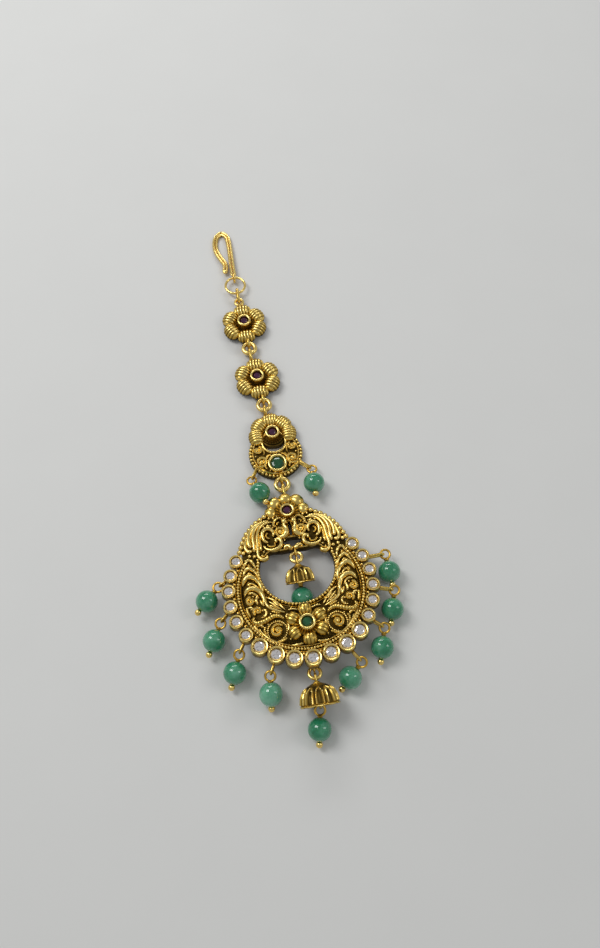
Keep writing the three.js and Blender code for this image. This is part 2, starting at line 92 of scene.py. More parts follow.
# A grid of rings, closed around; each open end gets a pole.
def gridShape(grid, highs, loop=False):
    rings, sides = grid.shape[:2]
    points = grid.reshape(-1, 3)
    values = highs.reshape(-1)
    faces = []
    for i in range(rings if loop else rings - 1):
        a, b = i * sides, ((i + 1) % rings) * sides
        faces += [(a + j, a + (j + 1) % sides, b + (j + 1) % sides, b + j) for j in range(sides)]
    if not loop:
        poles = np.array([grid[0].mean(axis=0), grid[-1].mean(axis=0)])
        first, last, base = len(points), len(points) + 1, (rings - 1) * sides
        points = np.vstack([points, poles])
        values = np.concatenate([values, [highs[0].mean(), highs[-1].mean()]])
        faces += [(first, (j + 1) % sides, j) for j in range(sides)]
        faces += [(last, base + j, base + (j + 1) % sides) for j in range(sides)]
    return points, faces, values


def unit(v):
    return v / np.maximum(np.linalg.norm(v, axis=-1, keepdims=True), 1e-9)


# A wire or a raised line along a path, with an oval section and rounded ends.
def sweep(path, width, height=None, sides=8, up=(0, 0, 1), loop=False, tip=0.12, swell=None, ribs=0):
    path = np.asarray(path, float)
    count = len(path)
    t = np.linspace(0, 1, count)
    if loop:
        along = unit(np.roll(path, -1, 0) - np.roll(path, 1, 0))
        ends = np.ones(count)
    else:
        along = unit(np.gradient(path, axis=0))
        near = np.clip(np.minimum(t, 1 - t) / tip, 0, 1)
        ends = np.maximum(np.sqrt(1 - (1 - near) ** 2), 0.06)
    if swell is not None:
        ends = ends * np.interp(t, np.linspace(0, 1, len(swell)), swell)
    ribbing = np.ones(count)
    if ribs:
        ribbing = 0.84 + 0.16 * np.abs(np.cos(np.pi * ribs * t))
    side = unit(np.cross(along, np.array(up, float)))
    top = np.cross(side, along)
    angle = np.linspace(0, 2 * np.pi, sides, endpoint=False) + np.pi / 2
    across = (side * (width * ends * ribbing)[:, None])[:, None] * np.cos(angle)[None, :, None]
    rise = (top * ((height or width) * ends * ribbing)[:, None])[:, None] * np.sin(angle)[None, :, None]
    grid = path[:, None] + across + rise
    highs = (0.5 + 0.5 * np.sin(angle))[None, :] * np.ones((count, 1))
    if ribs:
        highs = highs * (0.25 + 0.75 * (ribbing[:, None] - 0.84) / 0.16)
    return gridShape(grid, highs, loop)


def turnedShape(profile, sides=32, wave=None, highs=None):
    profile = np.asarray(profile, float)
    angle = np.linspace(0, 2 * np.pi, sides, endpoint=False)
    radius = profile[:, 0][:, None] * np.ones(sides)
    height = profile[:, 1][:, None] * np.ones(sides)
    values = (np.zeros(len(profile)) if highs is None else np.asarray(highs, float))[:, None] * np.ones(sides)
    if wave:
        height, values = wave(height, angle[None, :])
    grid = np.stack([radius * np.cos(angle), radius * np.sin(angle), height], axis=-1)
    return gridShape(grid, values)


def ball(x, y, z, radius, flat=1.0, rings=8, sides=12, low=0.1):
    a = np.linspace(-np.pi / 2 + 0.12, np.pi / 2 - 0.12, rings)
    shape = turnedShape(np.c_[radius * np.cos(a), radius * flat * np.sin(a)], sides,
        highs=low + (1 - low) * (0.5 + 0.5 * np.sin(a)))
    return moved(shape, x, y, z)


def ringPath(radius, steps=48, start=0.0, end=360.0, closed=True):
    a = np.radians(np.linspace(start, end, steps, endpoint=not closed))
    return np.c_[radius * np.cos(a), radius * np.sin(a), np.zeros(steps)]


def spiral(x, y, outer, inner, turns, start, way=1, steps=34):
    t = np.linspace(0, 1, steps)
    radius = outer + (inner - outer) * t ** 0.85
    a = math.radians(start) + way * turns * 2 * np.pi * t
    return np.c_[x + radius * np.cos(a), y + radius * np.sin(a)]


def smoothPath(spots, steps=9):
    p = np.asarray(spots, float)
    p = np.vstack([2 * p[0] - p[1], p, 2 * p[-1] - p[-2]])
    out = []
    for i in range(1, len(p) - 2):
        a, b, c, d = p[i - 1:i + 3]
        for t in np.linspace(0, 1, steps, endpoint=False):
            bend = (2 * a - 5 * b + 4 * c - d) * t * t + (3 * b - a - 3 * c + d) * t ** 3
            out.append(0.5 * (2 * b + (c - a) * t + bend))
    out.append(p[-2])
    return np.array(out)


# z is a number, or a function that gives the ground's height at x and y
def atHeight(path, z):
    path = np.asarray(path, float)
    level = z(path[:, 0], path[:, 1]) if callable(z) else np.full(len(path), z)
    return np.c_[path[:, :2], level]


# a raised line through a few spots
def strand(spots, z, width, height, sides=8, tip=0.1, swell=None, steps=8, ribs=0):
    path = atHeight(smoothPath(spots, steps), z)
    return sweep(path, width, height, sides, tip=tip, swell=swell, ribs=ribs)


def meshFrom(name, shape):
    mesh = bpy.data.meshes.new(name)
    mesh.from_pydata([tuple(p) for p in shape[0]], [], shape[1])
    mesh.attributes.new("high", "FLOAT", "POINT").data.foreach_set("value", np.asarray(shape[2], np.float32))
    return mesh


def shapeFromMesh(mesh):
    points = np.empty(len(mesh.vertices) * 3)
    mesh.vertices.foreach_get("co", points)
    highs = np.zeros(len(mesh.vertices))
    if "high" in mesh.attributes:
        mesh.attributes["high"].data.foreach_get("value", highs)
    return points.reshape(-1, 3), [tuple(face.vertices) for face in mesh.polygons], highs


# Flat work cut from sheet: an outline with holes, its edges softened.
def sheetShape(outlines, bottom, top, bevel, high=0.0):
    curve = bpy.data.curves.new("sheet", "CURVE")
    curve.dimensions, curve.fill_mode = "2D", "BOTH"
    curve.extrude, curve.bevel_depth, curve.bevel_resolution = (top - bottom) / 2 - bevel, bevel, 2
    curve.offset = -bevel
    for outline in outlines:
        line = curve.splines.new("POLY")
        line.points.add(len(outline) - 1)
        line.points.foreach_set("co", np.c_[outline, np.zeros(len(outline)), np.ones(len(outline))].ravel())
        line.use_cyclic_u = True
    holder = bpy.data.objects.new("sheet", curve)
    bpy.context.scene.collection.objects.link(holder)
    mesh = bpy.data.meshes.new_from_object(holder.evaluated_get(bpy.context.evaluated_depsgraph_get()))
    bpy.data.objects.remove(holder)
    work = bmesh.new()
    work.from_mesh(mesh)
    bmesh.ops.remove_doubles(work, verts=work.verts, dist=1e-4)
    work.to_mesh(mesh)
    work.free()
    points, faces = shapeFromMesh(mesh)[:2]
    points[:, 2] += (top + bottom) / 2
    return points, faces, np.full(len(points), high)


# geometry nodes: one tree repeats a piece at points, the other strings grains along a line


def treeWith(name, inputs):
    tree = bpy.data.node_groups.new(name, "GeometryNodeTree")
    sockets = {}
    for label, kind in inputs:
        sockets[label] = tree.interface.new_socket(label, in_out="INPUT", socket_type=kind).identifier
    tree.interface.new_socket("Result", in_out="OUTPUT", socket_type="NodeSocketGeometry")
    return tree, sockets, tree.nodes.new("NodeGroupInput"), tree.nodes.new("NodeGroupOutput")


def finishTree(tree, instances, given, out):
    real = tree.nodes.new("GeometryNodeRealizeInstances")
    paint = tree.nodes.new("GeometryNodeSetMaterial")
    tree.links.new(instances.outputs["Instances"], real.inputs[0])
    tree.links.new(real.outputs[0], paint.inputs["Geometry"])
    tree.links.new(given.outputs["Finish"], paint.inputs["Material"])
    tree.links.new(paint.outputs[0], out.inputs[0])


repeatTree, repeatSockets, given, out = treeWith("repeatAtPoints", [
    ("Points", "NodeSocketGeometry"), ("Piece", "NodeSocketObject"), ("Finish", "NodeSocketMaterial")])
piece = repeatTree.nodes.new("GeometryNodeObjectInfo")
spread = repeatTree.nodes.new("GeometryNodeInstanceOnPoints")
repeatTree.links.new(given.outputs["Points"], spread.inputs["Points"])
repeatTree.links.new(given.outputs["Piece"], piece.inputs["Object"])
repeatTree.links.new(piece.outputs["Geometry"], spread.inputs["Instance"])
readBack = {}
for label in ("turn", "size"):
    read = repeatTree.nodes.new("GeometryNodeInputNamedAttribute")
    read.data_type = "FLOAT_VECTOR"
    read.inputs["Name"].default_value = label
    readBack[label] = read.outputs["Attribute"]
turner = repeatTree.nodes.new("FunctionNodeEulerToRotation")
repeatTree.links.new(readBack["turn"], turner.inputs[0])
repeatTree.links.new(turner.outputs[0], spread.inputs["Rotation"])
repeatTree.links.new(readBack["size"], spread.inputs["Scale"])
finishTree(repeatTree, spread, given, out)

grainTree, grainSockets, given, out = treeWith("grainsAlongLine", [
    ("Line", "NodeSocketGeometry"), ("Piece", "NodeSocketObject"), ("Spacing", "NodeSocketFloat"),
    ("Smallest", "NodeSocketFloat"), ("Largest", "NodeSocketFloat"), ("Seed", "NodeSocketInt"),
    ("Finish", "NodeSocketMaterial")])
piece = grainTree.nodes.new("GeometryNodeObjectInfo")
steps = grainTree.nodes.new("GeometryNodeResampleCurve")
steps.mode = "LENGTH"
spread = grainTree.nodes.new("GeometryNodeInstanceOnPoints")
vary = grainTree.nodes.new("FunctionNodeRandomValue")
vary.data_type = "FLOAT"
grainTree.links.new(given.outputs["Line"], steps.inputs["Curve"])
grainTree.links.new(given.outputs["Spacing"], steps.inputs["Length"])
grainTree.links.new(steps.outputs[0], spread.inputs["Points"])
grainTree.links.new(given.outputs["Piece"], piece.inputs["Object"])
grainTree.links.new(piece.outputs["Geometry"], spread.inputs["Instance"])
floatSockets = [s for s in vary.inputs if s.type == "VALUE"]
grainTree.links.new(given.outputs["Smallest"], floatSockets[0])
grainTree.links.new(given.outputs["Largest"], floatSockets[1])
grainTree.links.new(given.outputs["Seed"], vary.inputs["Seed"])
grainTree.links.new([s for s in vary.outputs if s.type == "VALUE"][0], spread.inputs["Scale"])
finishTree(grainTree, spread, given, out)


def runTree(tree, sockets, data, values, finish):
    holder = bpy.data.objects.new("holder", data)
    bpy.context.scene.collection.objects.link(holder)
    modifier = holder.modifiers.new("nodes", "NODES")
    modifier.node_group = tree
    for label, value in values.items():
        modifier[sockets[label]] = value
    modifier[sockets["Finish"]] = finish
    made = bpy.data.meshes.new_from_object(holder.evaluated_get(bpy.context.evaluated_depsgraph_get()))
    holder.modifiers.remove(modifier)
    shape = shapeFromMesh(made)
    bpy.data.objects.remove(holder)
    return shape


def tempObject(shape):
    holder = bpy.data.objects.new("unit", meshFrom("unit", shape))
    bpy.context.scene.collection.objects.link(holder)
    return holder


def repeated(shape, spots, turns, sizes=None):
    points = bpy.data.meshes.new("spots")
    points.from_pydata([tuple(p) for p in spots], [], [])
    turnList = np.array([(0, 0, math.radians(t)) if np.isscalar(t) else t for t in turns], np.float32)
    sizeList = np.ones((len(spots), 3), np.float32) if sizes is None else np.array(sizes, np.float32)
    points.attributes.new("turn", "FLOAT_VECTOR", "POINT").data.foreach_set("vector", turnList.ravel())
    points.attributes.new("size", "FLOAT_VECTOR", "POINT").data.foreach_set("vector", sizeList.ravel())
    piece = tempObject(shape)
    made = runTree(repeatTree, repeatSockets, points, {"Piece": piece}, goldFinish)
    bpy.data.objects.remove(piece)
    return made


grainLook = {"seed": 3, "vary": 0.08}


def grainRow(path, grain, spacing, loop=False, flat=0.85):
    curve = bpy.data.curves.new("row", "CURVE")
    curve.dimensions = "3D"
    line = curve.splines.new("POLY")
    line.points.add(len(path) - 1)
    line.points.foreach_set("co", np.c_[path, np.ones(len(path))].ravel())
    line.use_cyclic_u = loop
    piece = tempObject(ball(0, 0, 0, grain, flat, rings=5, sides=8, low=0.0))
    length = np.linalg.norm(np.diff(path, axis=0), axis=1).sum()
    even = length / max(round(length / spacing), 1)
    made = runTree(grainTree, grainSockets, curve, {
        "Piece": piece, "Spacing": even, "Smallest": 1 - grainLook["vary"], "Largest": 1 + grainLook["vary"],
        "Seed": grainLook["seed"]}, goldFinish)
    bpy.data.objects.remove(piece)
    return made


# finishes


def newFinish(name):
    finish = bpy.data.materials.new(name)
    finish.use_nodes = True
    nodes, links = finish.node_tree.nodes, finish.node_tree.links
    shader = nodes["Principled BSDF"]
    return finish, nodes, links, shader


def noiseOn(nodes, links, scale, detail=4.0):
    spot = nodes.new("ShaderNodeTexCoord")
    noise = nodes.new("ShaderNodeTexNoise")
    noise.inputs["Scale"].default_value = scale
    noise.inputs["Detail"].default_value = detail
    noise.inputs["Roughness"].default_value = 0.55
    links.new(spot.outputs["Object"], noise.inputs["Vector"])
    return noise.outputs["Fac"]


def sumOf(nodes, links, operation, first, second, clamp=False):
    node = nodes.new("ShaderNodeMath")
    node.operation, node.use_clamp = operation, clamp
    for socket, value in zip(node.inputs, (first, second)):
        if isinstance(value, (int, float)):
            socket.default_value = value
        else:
            links.new(value, socket)
    return node.outputs[0]


def rampOn(nodes, links, value, stops):
    ramp = nodes.new("ShaderNodeValToRGB")
    band = ramp.color_ramp
    while len(band.elements) < len(stops):
        band.elements.new(0.5)
    for element, (place, colour) in zip(band.elements, stops):
        element.position = place
        element.color = (*colour, 1) if not np.isscalar(colour) else (colour, colour, colour, 1)
    links.new(value, ramp.inputs[0])
    return ramp.outputs["Color"]


def bumpOn(nodes, links, shader, value, strength, depth):
    bump = nodes.new("ShaderNodeBump")
    bump.inputs["Strength"].default_value = strength
    bump.inputs["Distance"].default_value = depth
    links.new(value, bump.inputs["Height"])
    links.new(bump.outputs[0], shader.inputs["Normal"])


# the stops run from the bottom of the relief to its top
goldLook = {
    "blotch": 700.0,
    "blotchShare": 0.24,
    "grit": 7000.0,
    "gritStrength": 0.10,
    "gritDepth": 0.00003,
    "stops": [(0.0, (0.030, 0.018, 0.004)), (0.30, (0.26, 0.165, 0.032)), (0.60, (0.66, 0.43, 0.075)),
        (1.0, (1.0, 0.77, 0.26))],
    "roughness": [(0.0, 0.46), (0.5, 0.26), (1.0, 0.12)]}
wireLook = {
    "blotch": 500.0, "blotchShare": 0.10, "grit": 5000.0, "gritStrength": 0.06, "gritDepth": 0.00002,
    "stops": [(0.0, (0.22, 0.12, 0.02)), (0.5, (0.74, 0.46, 0.08)), (1.0, (1.0, 0.76, 0.26))],
    "roughness": [(0.0, 0.30), (1.0, 0.14)]}


def makeGold(name, look):
    finish, nodes, links, shader = newFinish(name)
    read = nodes.new("ShaderNodeAttribute")
    read.attribute_name = "high"
    blotch = sumOf(nodes, links, "MULTIPLY_ADD", noiseOn(nodes, links, look["blotch"]), look["blotchShare"])
    blotch.node.inputs[2].default_value = -look["blotchShare"] / 2
    level = sumOf(nodes, links, "ADD", read.outputs["Fac"], blotch, True)
    links.new(rampOn(nodes, links, level, look["stops"]), shader.inputs["Base Color"])
    grit = noiseOn(nodes, links, look["grit"], 3.0)
    wear = rampOn(nodes, links, level, look["roughness"])
    smudge = sumOf(nodes, links, "MULTIPLY", noiseOn(nodes, links, 1800.0), 0.16)
    links.new(sumOf(nodes, links, "ADD", wear, smudge), shader.inputs["Roughness"])
    shader.inputs["Metallic"].default_value = 1.0
    bumpOn(nodes, links, shader, grit, look["gritStrength"], look["gritDepth"])
    return finish


goldFinish = makeGold("antiqueGold", goldLook)
wireFinish = makeGold("wireGold", wireLook)

beadLook = {"cloud": 420.0, "veins": 1500.0, "deep": (0.008, 0.15, 0.065), "body": (0.030, 0.255, 0.125),
    "pale": (0.17, 0.45, 0.30)}
beadFinish, nodes, links, shader = newFinish("cloudyGreenStone")
tone = nodes.new("ShaderNodeAttribute")
tone.attribute_name = "tone"
cloud = sumOf(nodes, links, "ADD", noiseOn(nodes, links, beadLook["cloud"], 5.0), tone.outputs["Fac"])
fleck = sumOf(nodes, links, "MULTIPLY", noiseOn(nodes, links, beadLook["veins"], 2.0), 0.25)
greens = [(0.30, beadLook["deep"]), (0.60, beadLook["body"]), (0.95, beadLook["pale"])]
clouds = rampOn(nodes, links, sumOf(nodes, links, "ADD", cloud, fleck, True), greens)
links.new(clouds, shader.inputs["Base Color"])
links.new(rampOn(nodes, links, fleck, [(0.0, 0.10), (1.0, 0.20)]), shader.inputs["Roughness"])
shader.inputs["Subsurface Weight"].default_value = 0.6
shader.inputs["Subsurface Radius"].default_value = (0.0008, 0.0012, 0.0007)
shader.inputs["Subsurface Scale"].default_value = 1.0
shader.inputs["Coat Weight"].default_value = 0.6
shader.inputs["Coat Roughness"].default_value = 0.04
bumpOn(nodes, links, shader, fleck, 0.05, 0.00003)


glassLook = {  # darkest and lightest colour, how much light goes through, how much it bends
    "clearStone": ((0.84, 0.80, 0.80), (1, 0.97, 0.96), 0.25, 1.75),
    "purpleStone": ((0.035, 0.005, 0.025), (0.13, 0.02, 0.10), 0.3, 1.6),
    "greenStone": ((0.004, 0.05, 0.014), (0.02, 0.15, 0.05), 0.3, 1.6),
    # painted glint tones of the clear stones' facets, from painted dark reflection to painted highlight
    "facets": [(0.15, (0.20, 0.17, 0.17)), (0.45, (0.75, 0.70, 0.70)), (0.8, (1.0, 0.97, 0.96))],
    "foil": 0.72}


def makeGlass(name):
    dark, light, through, bend = glassLook[name]
    finish, nodes, links, shader = newFinish(name)
    tint = rampOn(nodes, links, noiseOn(nodes, links, 900.0), [(0.3, dark), (0.7, light)])
    links.new(tint, shader.inputs["Base Color"])
    rubbed = rampOn(nodes, links, noiseOn(nodes, links, 2500.0), [(0.0, 0.01), (1.0, 0.06)])
    links.new(rubbed, shader.inputs["Roughness"])
    shader.inputs["Transmission Weight"].default_value = through
    shader.inputs["IOR"].default_value = bend
    return finish


clearFinish = makeGlass("clearStone")
clearShader = clearFinish.node_tree.nodes["Principled BSDF"]
clearShader.inputs["Metallic"].default_value = glassLook["foil"]  # foil behind the stones
clearShader.inputs["Coat Weight"].default_value = 1.0
clearNodes, clearLinks = clearFinish.node_tree.nodes, clearFinish.node_tree.links
# the clear stones' base colour is painted reflection: each facet's painted glint plus a painted sparkle from fine
# noise
paintedGlintRead = clearNodes.new("ShaderNodeAttribute")
paintedGlintRead.attribute_name = "paintedGlint"
paintedSparkle = sumOf(clearNodes, clearLinks, "MULTIPLY", noiseOn(clearNodes, clearLinks, 2600.0), 0.2)
paintedGlintMix = sumOf(clearNodes, clearLinks, "ADD", paintedGlintRead.outputs["Fac"], paintedSparkle)
clearLinks.new(rampOn(clearNodes, clearLinks, paintedGlintMix, glassLook["facets"]), clearShader.inputs["Base Color"])
purpleFinish = makeGlass("purpleStone")
greenFinish = makeGlass("greenStone")
print("finishes made")

# the layout shared by every piece, in mm round the pendant's middle
shift = boxMiddle("hook_ring") - np.array([-2.5, 68.95, 1.2])
tilt = 6.0
lift = 0.4 + 19.5 * math.sin(math.radians(tilt))
pendantPlace = Matrix.Translation((0, 0, lift)) @ Matrix.Rotation(math.radians(-tilt), 4, "X")


def makePiece(name, nodes, shape, finish, tone=None, facets=False, stars=0):
    mesh = meshFrom(name, (np.asarray(shape[0]) + shift, shape[1], shape[2]))
    mesh.transform(Matrix.Scale(0.001, 4))
    work = bmesh.new()
    work.from_mesh(mesh)
    bmesh.ops.recalc_face_normals(work, faces=work.faces)
    work.to_mesh(mesh)
    work.free()
    if tone is not None:
        tones = np.full(len(mesh.vertices), tone, np.float32)
        mesh.attributes.new("tone", "FLOAT", "POINT").data.foreach_set("value", tones)
    if stars:  # each facet of the cut gets a painted glint: its colour is set lighter or darker as if it threw back more or less light
        count = len(mesh.polygons) // stars
        odd, even = (0.12, 0.95, 0.5, 1.0, 0.3, 0.8), (0.9, 0.25, 0.65)
        paintedGlint = [odd[(i % count) * 5 % 6] if i % 2 else even[i % 3] for i in range(len(mesh.polygons))]
        mesh.attributes.new("paintedGlint", "FLOAT", "FACE").data.foreach_set("value", np.array(paintedGlint, np.float32))
    mesh.polygons.foreach_set("use_smooth", [not facets] * len(mesh.polygons))
    if not facets:
        mesh.set_sharp_from_angle(angle=math.radians(50))
    mesh.materials.append(finish)
    thing = bpy.data.objects.new(name, mesh)
    bpy.context.scene.collection.objects.link(thing)
    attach(thing, "root")
    if nodes:
        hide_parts(*nodes)
    return thing


# parts shared by the castings


def bezel(outer, inner, top, seat, foot=0.0, sides=28):
    lip = (outer - inner)
    profile = [
        (0.02, foot), (outer * 0.94, foot), (outer, foot + 0.15), (outer * 0.99, top - 0.34),
        (outer * 0.975, top - 0.08), (inner + lip * 0.75, top), (inner + lip * 0.22, top - 0.01),
        (inner, top - 0.12), (inner * 0.96, seat + 0.1), (inner * 0.8, seat), (0.02, seat)]
    return turnedShape(profile, sides, highs=[0, 0.1, 0.25, 0.6, 0.95, 1.0, 1.0, 0.7, 0.2, 0.1, 0.1])


stoneLook = {"table": 0.56, "sides": 8}


def stone(radius, height):
    table, ring = stoneLook["table"], stoneLook["sides"] * 2
    profile = [(radius * 0.1, 0), (radius, height * 0.55), (radius * 0.99, height * 0.62),
        (radius * 0.80, height * 0.86), (radius * table, height)]
    shape = turnedShape(profile, ring)
    points = shape[0].copy()
    for row in (0, 3):  # every other row turns by half a facet
        one = points[row * ring:(row + 1) * ring]
        a = np.arctan2(one[:, 1], one[:, 0]) + np.pi / ring
        one[:, :2] = np.hypot(one[:, 0], one[:, 1])[:, None] * np.c_[np.cos(a), np.sin(a)]
    return points, shape[1], shape[2]


# A puffed petal, fluted over its crest: rings round the tangential axis.
def barrelPetal(radial, across, height, lift, flutes=6, depth=0.15, rings=49, sides=24):
    s = np.linspace(-1, 1, rings) * 0.985
    body = (1 - np.abs(s) ** 2.4) ** 0.5
    groove = np.abs(np.sin(np.pi * flutes * (s + 1) / 2)) ** 0.7 if flutes else np.ones(rings)
    radius = body * (1 - depth * (1 - groove))
    angle = np.linspace(0, 2 * np.pi, sides, endpoint=False)
    x = across * s[:, None] * np.ones(sides)
    y = radial * radius[:, None] * np.cos(angle)
    grid = np.stack([x, y, lift + height * radius[:, None] * np.sin(angle)], axis=-1)
    crest = np.clip(0.25 + 0.85 * np.sin(angle), 0, 1)[None, :] * (0.10 + 0.90 * groove[:, None])
    return gridShape(grid, crest)


def castEye(x, y, z, stretch=0.0, loop=0.78, wire=0.33):
    path = ringPath(loop)
    path[:, 1] += np.sign(path[:, 1]) * stretch / 2
    upright = np.c_[np.zeros(len(path)), path[:, 1], path[:, 0]]
    return moved(toned(sweep(upright, wire, sides=12, up=(1, 0, 0), loop=True), 0.45, 1.0), x, y, z)


def flatLoop(x, y, z, loop, wire):
    return moved(toned(sweep(ringPath(loop, 56), wire, sides=14, loop=True), 0.5, 1.0), x, y, z)


# flower links
flowerLook = {"centre": 3.12, "radial": 1.6, "across": 1.88, "height": 1.30, "lift": 1.10,
              "bezelOuter": 1.4, "bezelInner": 0.96, "bezelTop": 2.75, "tip": 4.7}
flowerTip = flowerLook["tip"]  # how far the petals reach


def flutedDish(inner, outer, low, high, count, depth):
    profile = [(inner * 0.8, 0.2), (outer, 0.2), (outer, high - 0.2), (outer * 0.93, high),
        (inner + 0.25, low + 0.1), (inner * 0.8, low)]

    def wave(height, angle):
        ridge = 0.5 + 0.5 * np.cos(count * angle)
        top = (np.arange(len(profile)) >= 3)[:, None]
        return height - np.where(top, depth * (1 - ridge), 0), np.where(top, 0.10 + 0.55 * ridge, 0.0)

    return turnedShape(profile, count * 6, wave)


def flowerHead(angles, y=0.0, flutes=6):
    look = flowerLook
    petal = barrelPetal(look["radial"], look["across"], look["height"], look["lift"], flutes)
    reach = look["centre"]
    spots = [(-reach * math.sin(math.radians(a)), y + reach * math.cos(math.radians(a)), 0) for a in angles]
    petals = repeated(petal, spots, angles)
    dish = moved(toned(flutedDish(1.2, 2.3, 1.15, 1.7, 26, 0.12), 0, 0.55), 0, y)
    cup = moved(bezel(look["bezelOuter"], look["bezelInner"], look["bezelTop"], 1.55, 0.3), 0, y)
    return [petals, dish, cup]


def backDisc(radius, thick, y=0.0):
    a = np.linspace(0, 2 * np.pi, 120, endpoint=False)
    edge = radius * (1 + 0.03 * np.cos(6 * a))
    return sheetShape([np.c_[edge * np.cos(a), y + edge * np.sin(a)]], 0.0, thick, 0.12, 0.15)


def ringEyes(host, tip, ringY, side, x):
    crossing = ringY - host - side * 1.22
    outerEnd = crossing + side * 0.78
    innerEnd = side * (tip - 0.3)
    stretch = max(side * (outerEnd - innerEnd) - 1.56, 0)
    return castEye(x, outerEnd - side * (0.78 + stretch / 2), 1.2, stretch)


linkRings = {"linkRingA": ("link_ring_a", -1.8, 52.7), "linkRingB": ("link_ring_b", -0.8, 39.1),
    "linkRingC": ("link_ring_c", 0.05, 21.5)}
sixAround = [0, 60, 120, 180, 240, 300]
upperMiddle = boxMiddle("stone_flower_upper") - shift
lowerMiddle = boxMiddle("stone_flower_lower") - shift
upperEyes = [flatLoop(-0.35, flowerTip + 0.87, 1.2, 0.78, 0.28), ringEyes(58.9, flowerTip, 52.7, -1, 0.15)]
lowerEyes = [ringEyes(45.35, flowerTip, 52.7, 1, -0.6), ringEyes(45.35, flowerTip, 39.1, -1, 0.4)]
for name, node, middle, eyes in (
        ("flowerLinkUpper", "flower_link_upper", upperMiddle, upperEyes),
        ("flowerLinkLower", "flower_link_lower", lowerMiddle, lowerEyes)):
    shape = joinShapes(flowerHead(sixAround) + [backDisc(3.0, 0.9)] + eyes)
    makePiece(name, [node], moved(onFloor(shape), middle[0], middle[1]), goldFinish)
for name, (node, x, y) in linkRings.items():
    makePiece(name, [node], flatLoop(x, y, 1.2, 1.20, 0.41), wireFinish)
print("flower links made")

# hook, its ring and the thick link under it
hookLook = {"wire": 0.285, "gap": 0.30}
hookLine = [
    (-2.5, 71.45, 1.15), (-2.52, 74.4, 1.0), (-2.45, 77.2, 0.85), (-2.4, 80.2, 0.65), (-2.6, 82.9, 0.45),
    (-3.7, 84.1, 0.36), (-4.95, 83.0, 0.34), (-5.4, 81.0, 0.34), (-5.25, 78.9, 0.45), (-4.5, 76.8, 0.6),
    (-3.9, 75.0, 0.75), (-4.15, 73.2, 0.85)]
line = smoothPath(hookLine, 14)
aside = unit(np.cross(np.gradient(line, axis=0), (0, 0, 1)))
strands = []
for way in (-1, 1):
    wire = sweep(line + aside * way * hookLook["gap"], hookLook["wire"], sides=14, tip=0.02)
    strands.append(toned(wire, 0.35, 1.0))
tipBall = ball(*line[-1], 0.52, 0.62, 10, 16, 0.5)
hookEye = castEye(-2.5, 70.9, 1.15, 0, 0.78, 0.25)
makePiece("hookWires", ["hook"], joinShapes(strands + [tipBall, hookEye]), wireFinish)
makePiece("hookRing", ["hook_ring"], flatLoop(-2.5, 68.95, 1.2, 2.05, 0.25), wireFinish)
makePiece("topLink", ["top_link"], castEye(-2.3, 66.1, 1.2, 1.4, 0.8, 0.35), wireFinish)
print("hook made")

# station
stationLook = {"radius": 5.15, "thick": 1.1, "holeY": 2.35, "holeRadius": 2.05, "flowerY": 4.05, "cupY": -2.35,
               "grain": 0.34, "grainStep": 0.70}


def scroll(x, y, outer, turns, start, way, z, width, height, tail=None, swell=(1.0, 1.0, 0.75, 0.6)):
    path = spiral(x, y, outer, outer * 0.18, turns, start, way, 44)
    if tail is not None:
        lead = smoothPath(list(tail) + [path[0], path[1] * 2 - path[0]], 8)[:-8]
        path = np.vstack([lead[:-1], path])
        swell = (0.5, 0.9, 1.0, 0.9, 0.7)
    shape = sweep(atHeight(path, z), width, height, 8, tip=0.06, swell=swell)
    ground = z(np.array([x]), np.array([y]))[0] if callable(z) else z
    return joinShapes([shape, ball(x, y, ground + 0.05, outer * 0.26 + 0.06, 0.9, 6, 10, 0.3)])


def holeLoop(x, y, radius):
    return ringPath(radius, 64)[:, :2] + np.array([x, y])


s = stationLook
plateEdge, plateHole = ringPath(s["radius"], 120)[:, :2], holeLoop(0, s["holeY"], s["holeRadius"])
plate = sheetShape([plateEdge, plateHole], 0, s["thick"], 0.14, 0.06)
rimPath = atHeight(holeLoop(0, s["holeY"], s["holeRadius"] + 0.22), s["thick"] + 0.05)
parts = [plate, sweep(rimPath, 0.30, 0.50, 12, loop=True)]
borderPath = ringPath(s["radius"] - 0.78, 120, -214, 34, False)
parts.append(sweep(atHeight(borderPath, s["thick"] + 0.02), 0.19, 0.34, 10, tip=0.02))
grainPath = ringPath(s["radius"] - 0.28, 160, -214, 34, False)
parts.append(grainRow(atHeight(grainPath, s["thick"] + 0.10), s["grain"], s["grainStep"]))
cup = moved(bezel(1.85, 1.36, 2.0, 1.0, 0.5, 44), 0, s["cupY"])
parts.append(cup)
level = s["thick"] + 0.16
curls = [
    scroll(2.95, -1.45, 1.12, 1.35, 250, -1, level, 0.34, 0.56, [(1.95, -4.0), (3.0, -3.5), (3.95, -2.6)]),
    scroll(3.35, 1.05, 0.86, 1.3, 120, 1, level, 0.29, 0.50, [(2.25, -0.1), (2.2, 0.5), (2.4, 1.3)]),
    strand([(2.05, -3.3), (2.35, -2.5), (2.1, -1.3), (1.6, -0.55), (0.8, -0.25)], level, 0.28, 0.50, 10,
        swell=(0.5, 1, 1.1, 1, 0.6)),
    strand([(0.15, -4.35), (1.2, -4.3), (2.3, -3.75), (3.1, -3.0)], level, 0.22, 0.42)]
dots = [(2.15, -2.9, 0.22), (3.9, -0.2, 0.2), (2.3, -0.75, 0.17), (0.7, -4.05, 0.2), (4.05, 1.9, 0.16),
        (1.55, -3.55, 0.15)]
for curl in curls + [ball(x, y, level, r) for x, y, r in dots]:
    parts += bothSides(curl)
parts += flowerHead([0, 47, -47, 93, -93], s["flowerY"], 7)
parts.append(backDisc(2.6, 1.2, s["flowerY"]))
parts += [ringEyes(28.25, s["flowerY"] + flowerTip, 39.1, 1, -0.65), ringEyes(28.25, s["radius"], 21.5, -1, 0.2)]
stationParts = parts
print("station shaped")

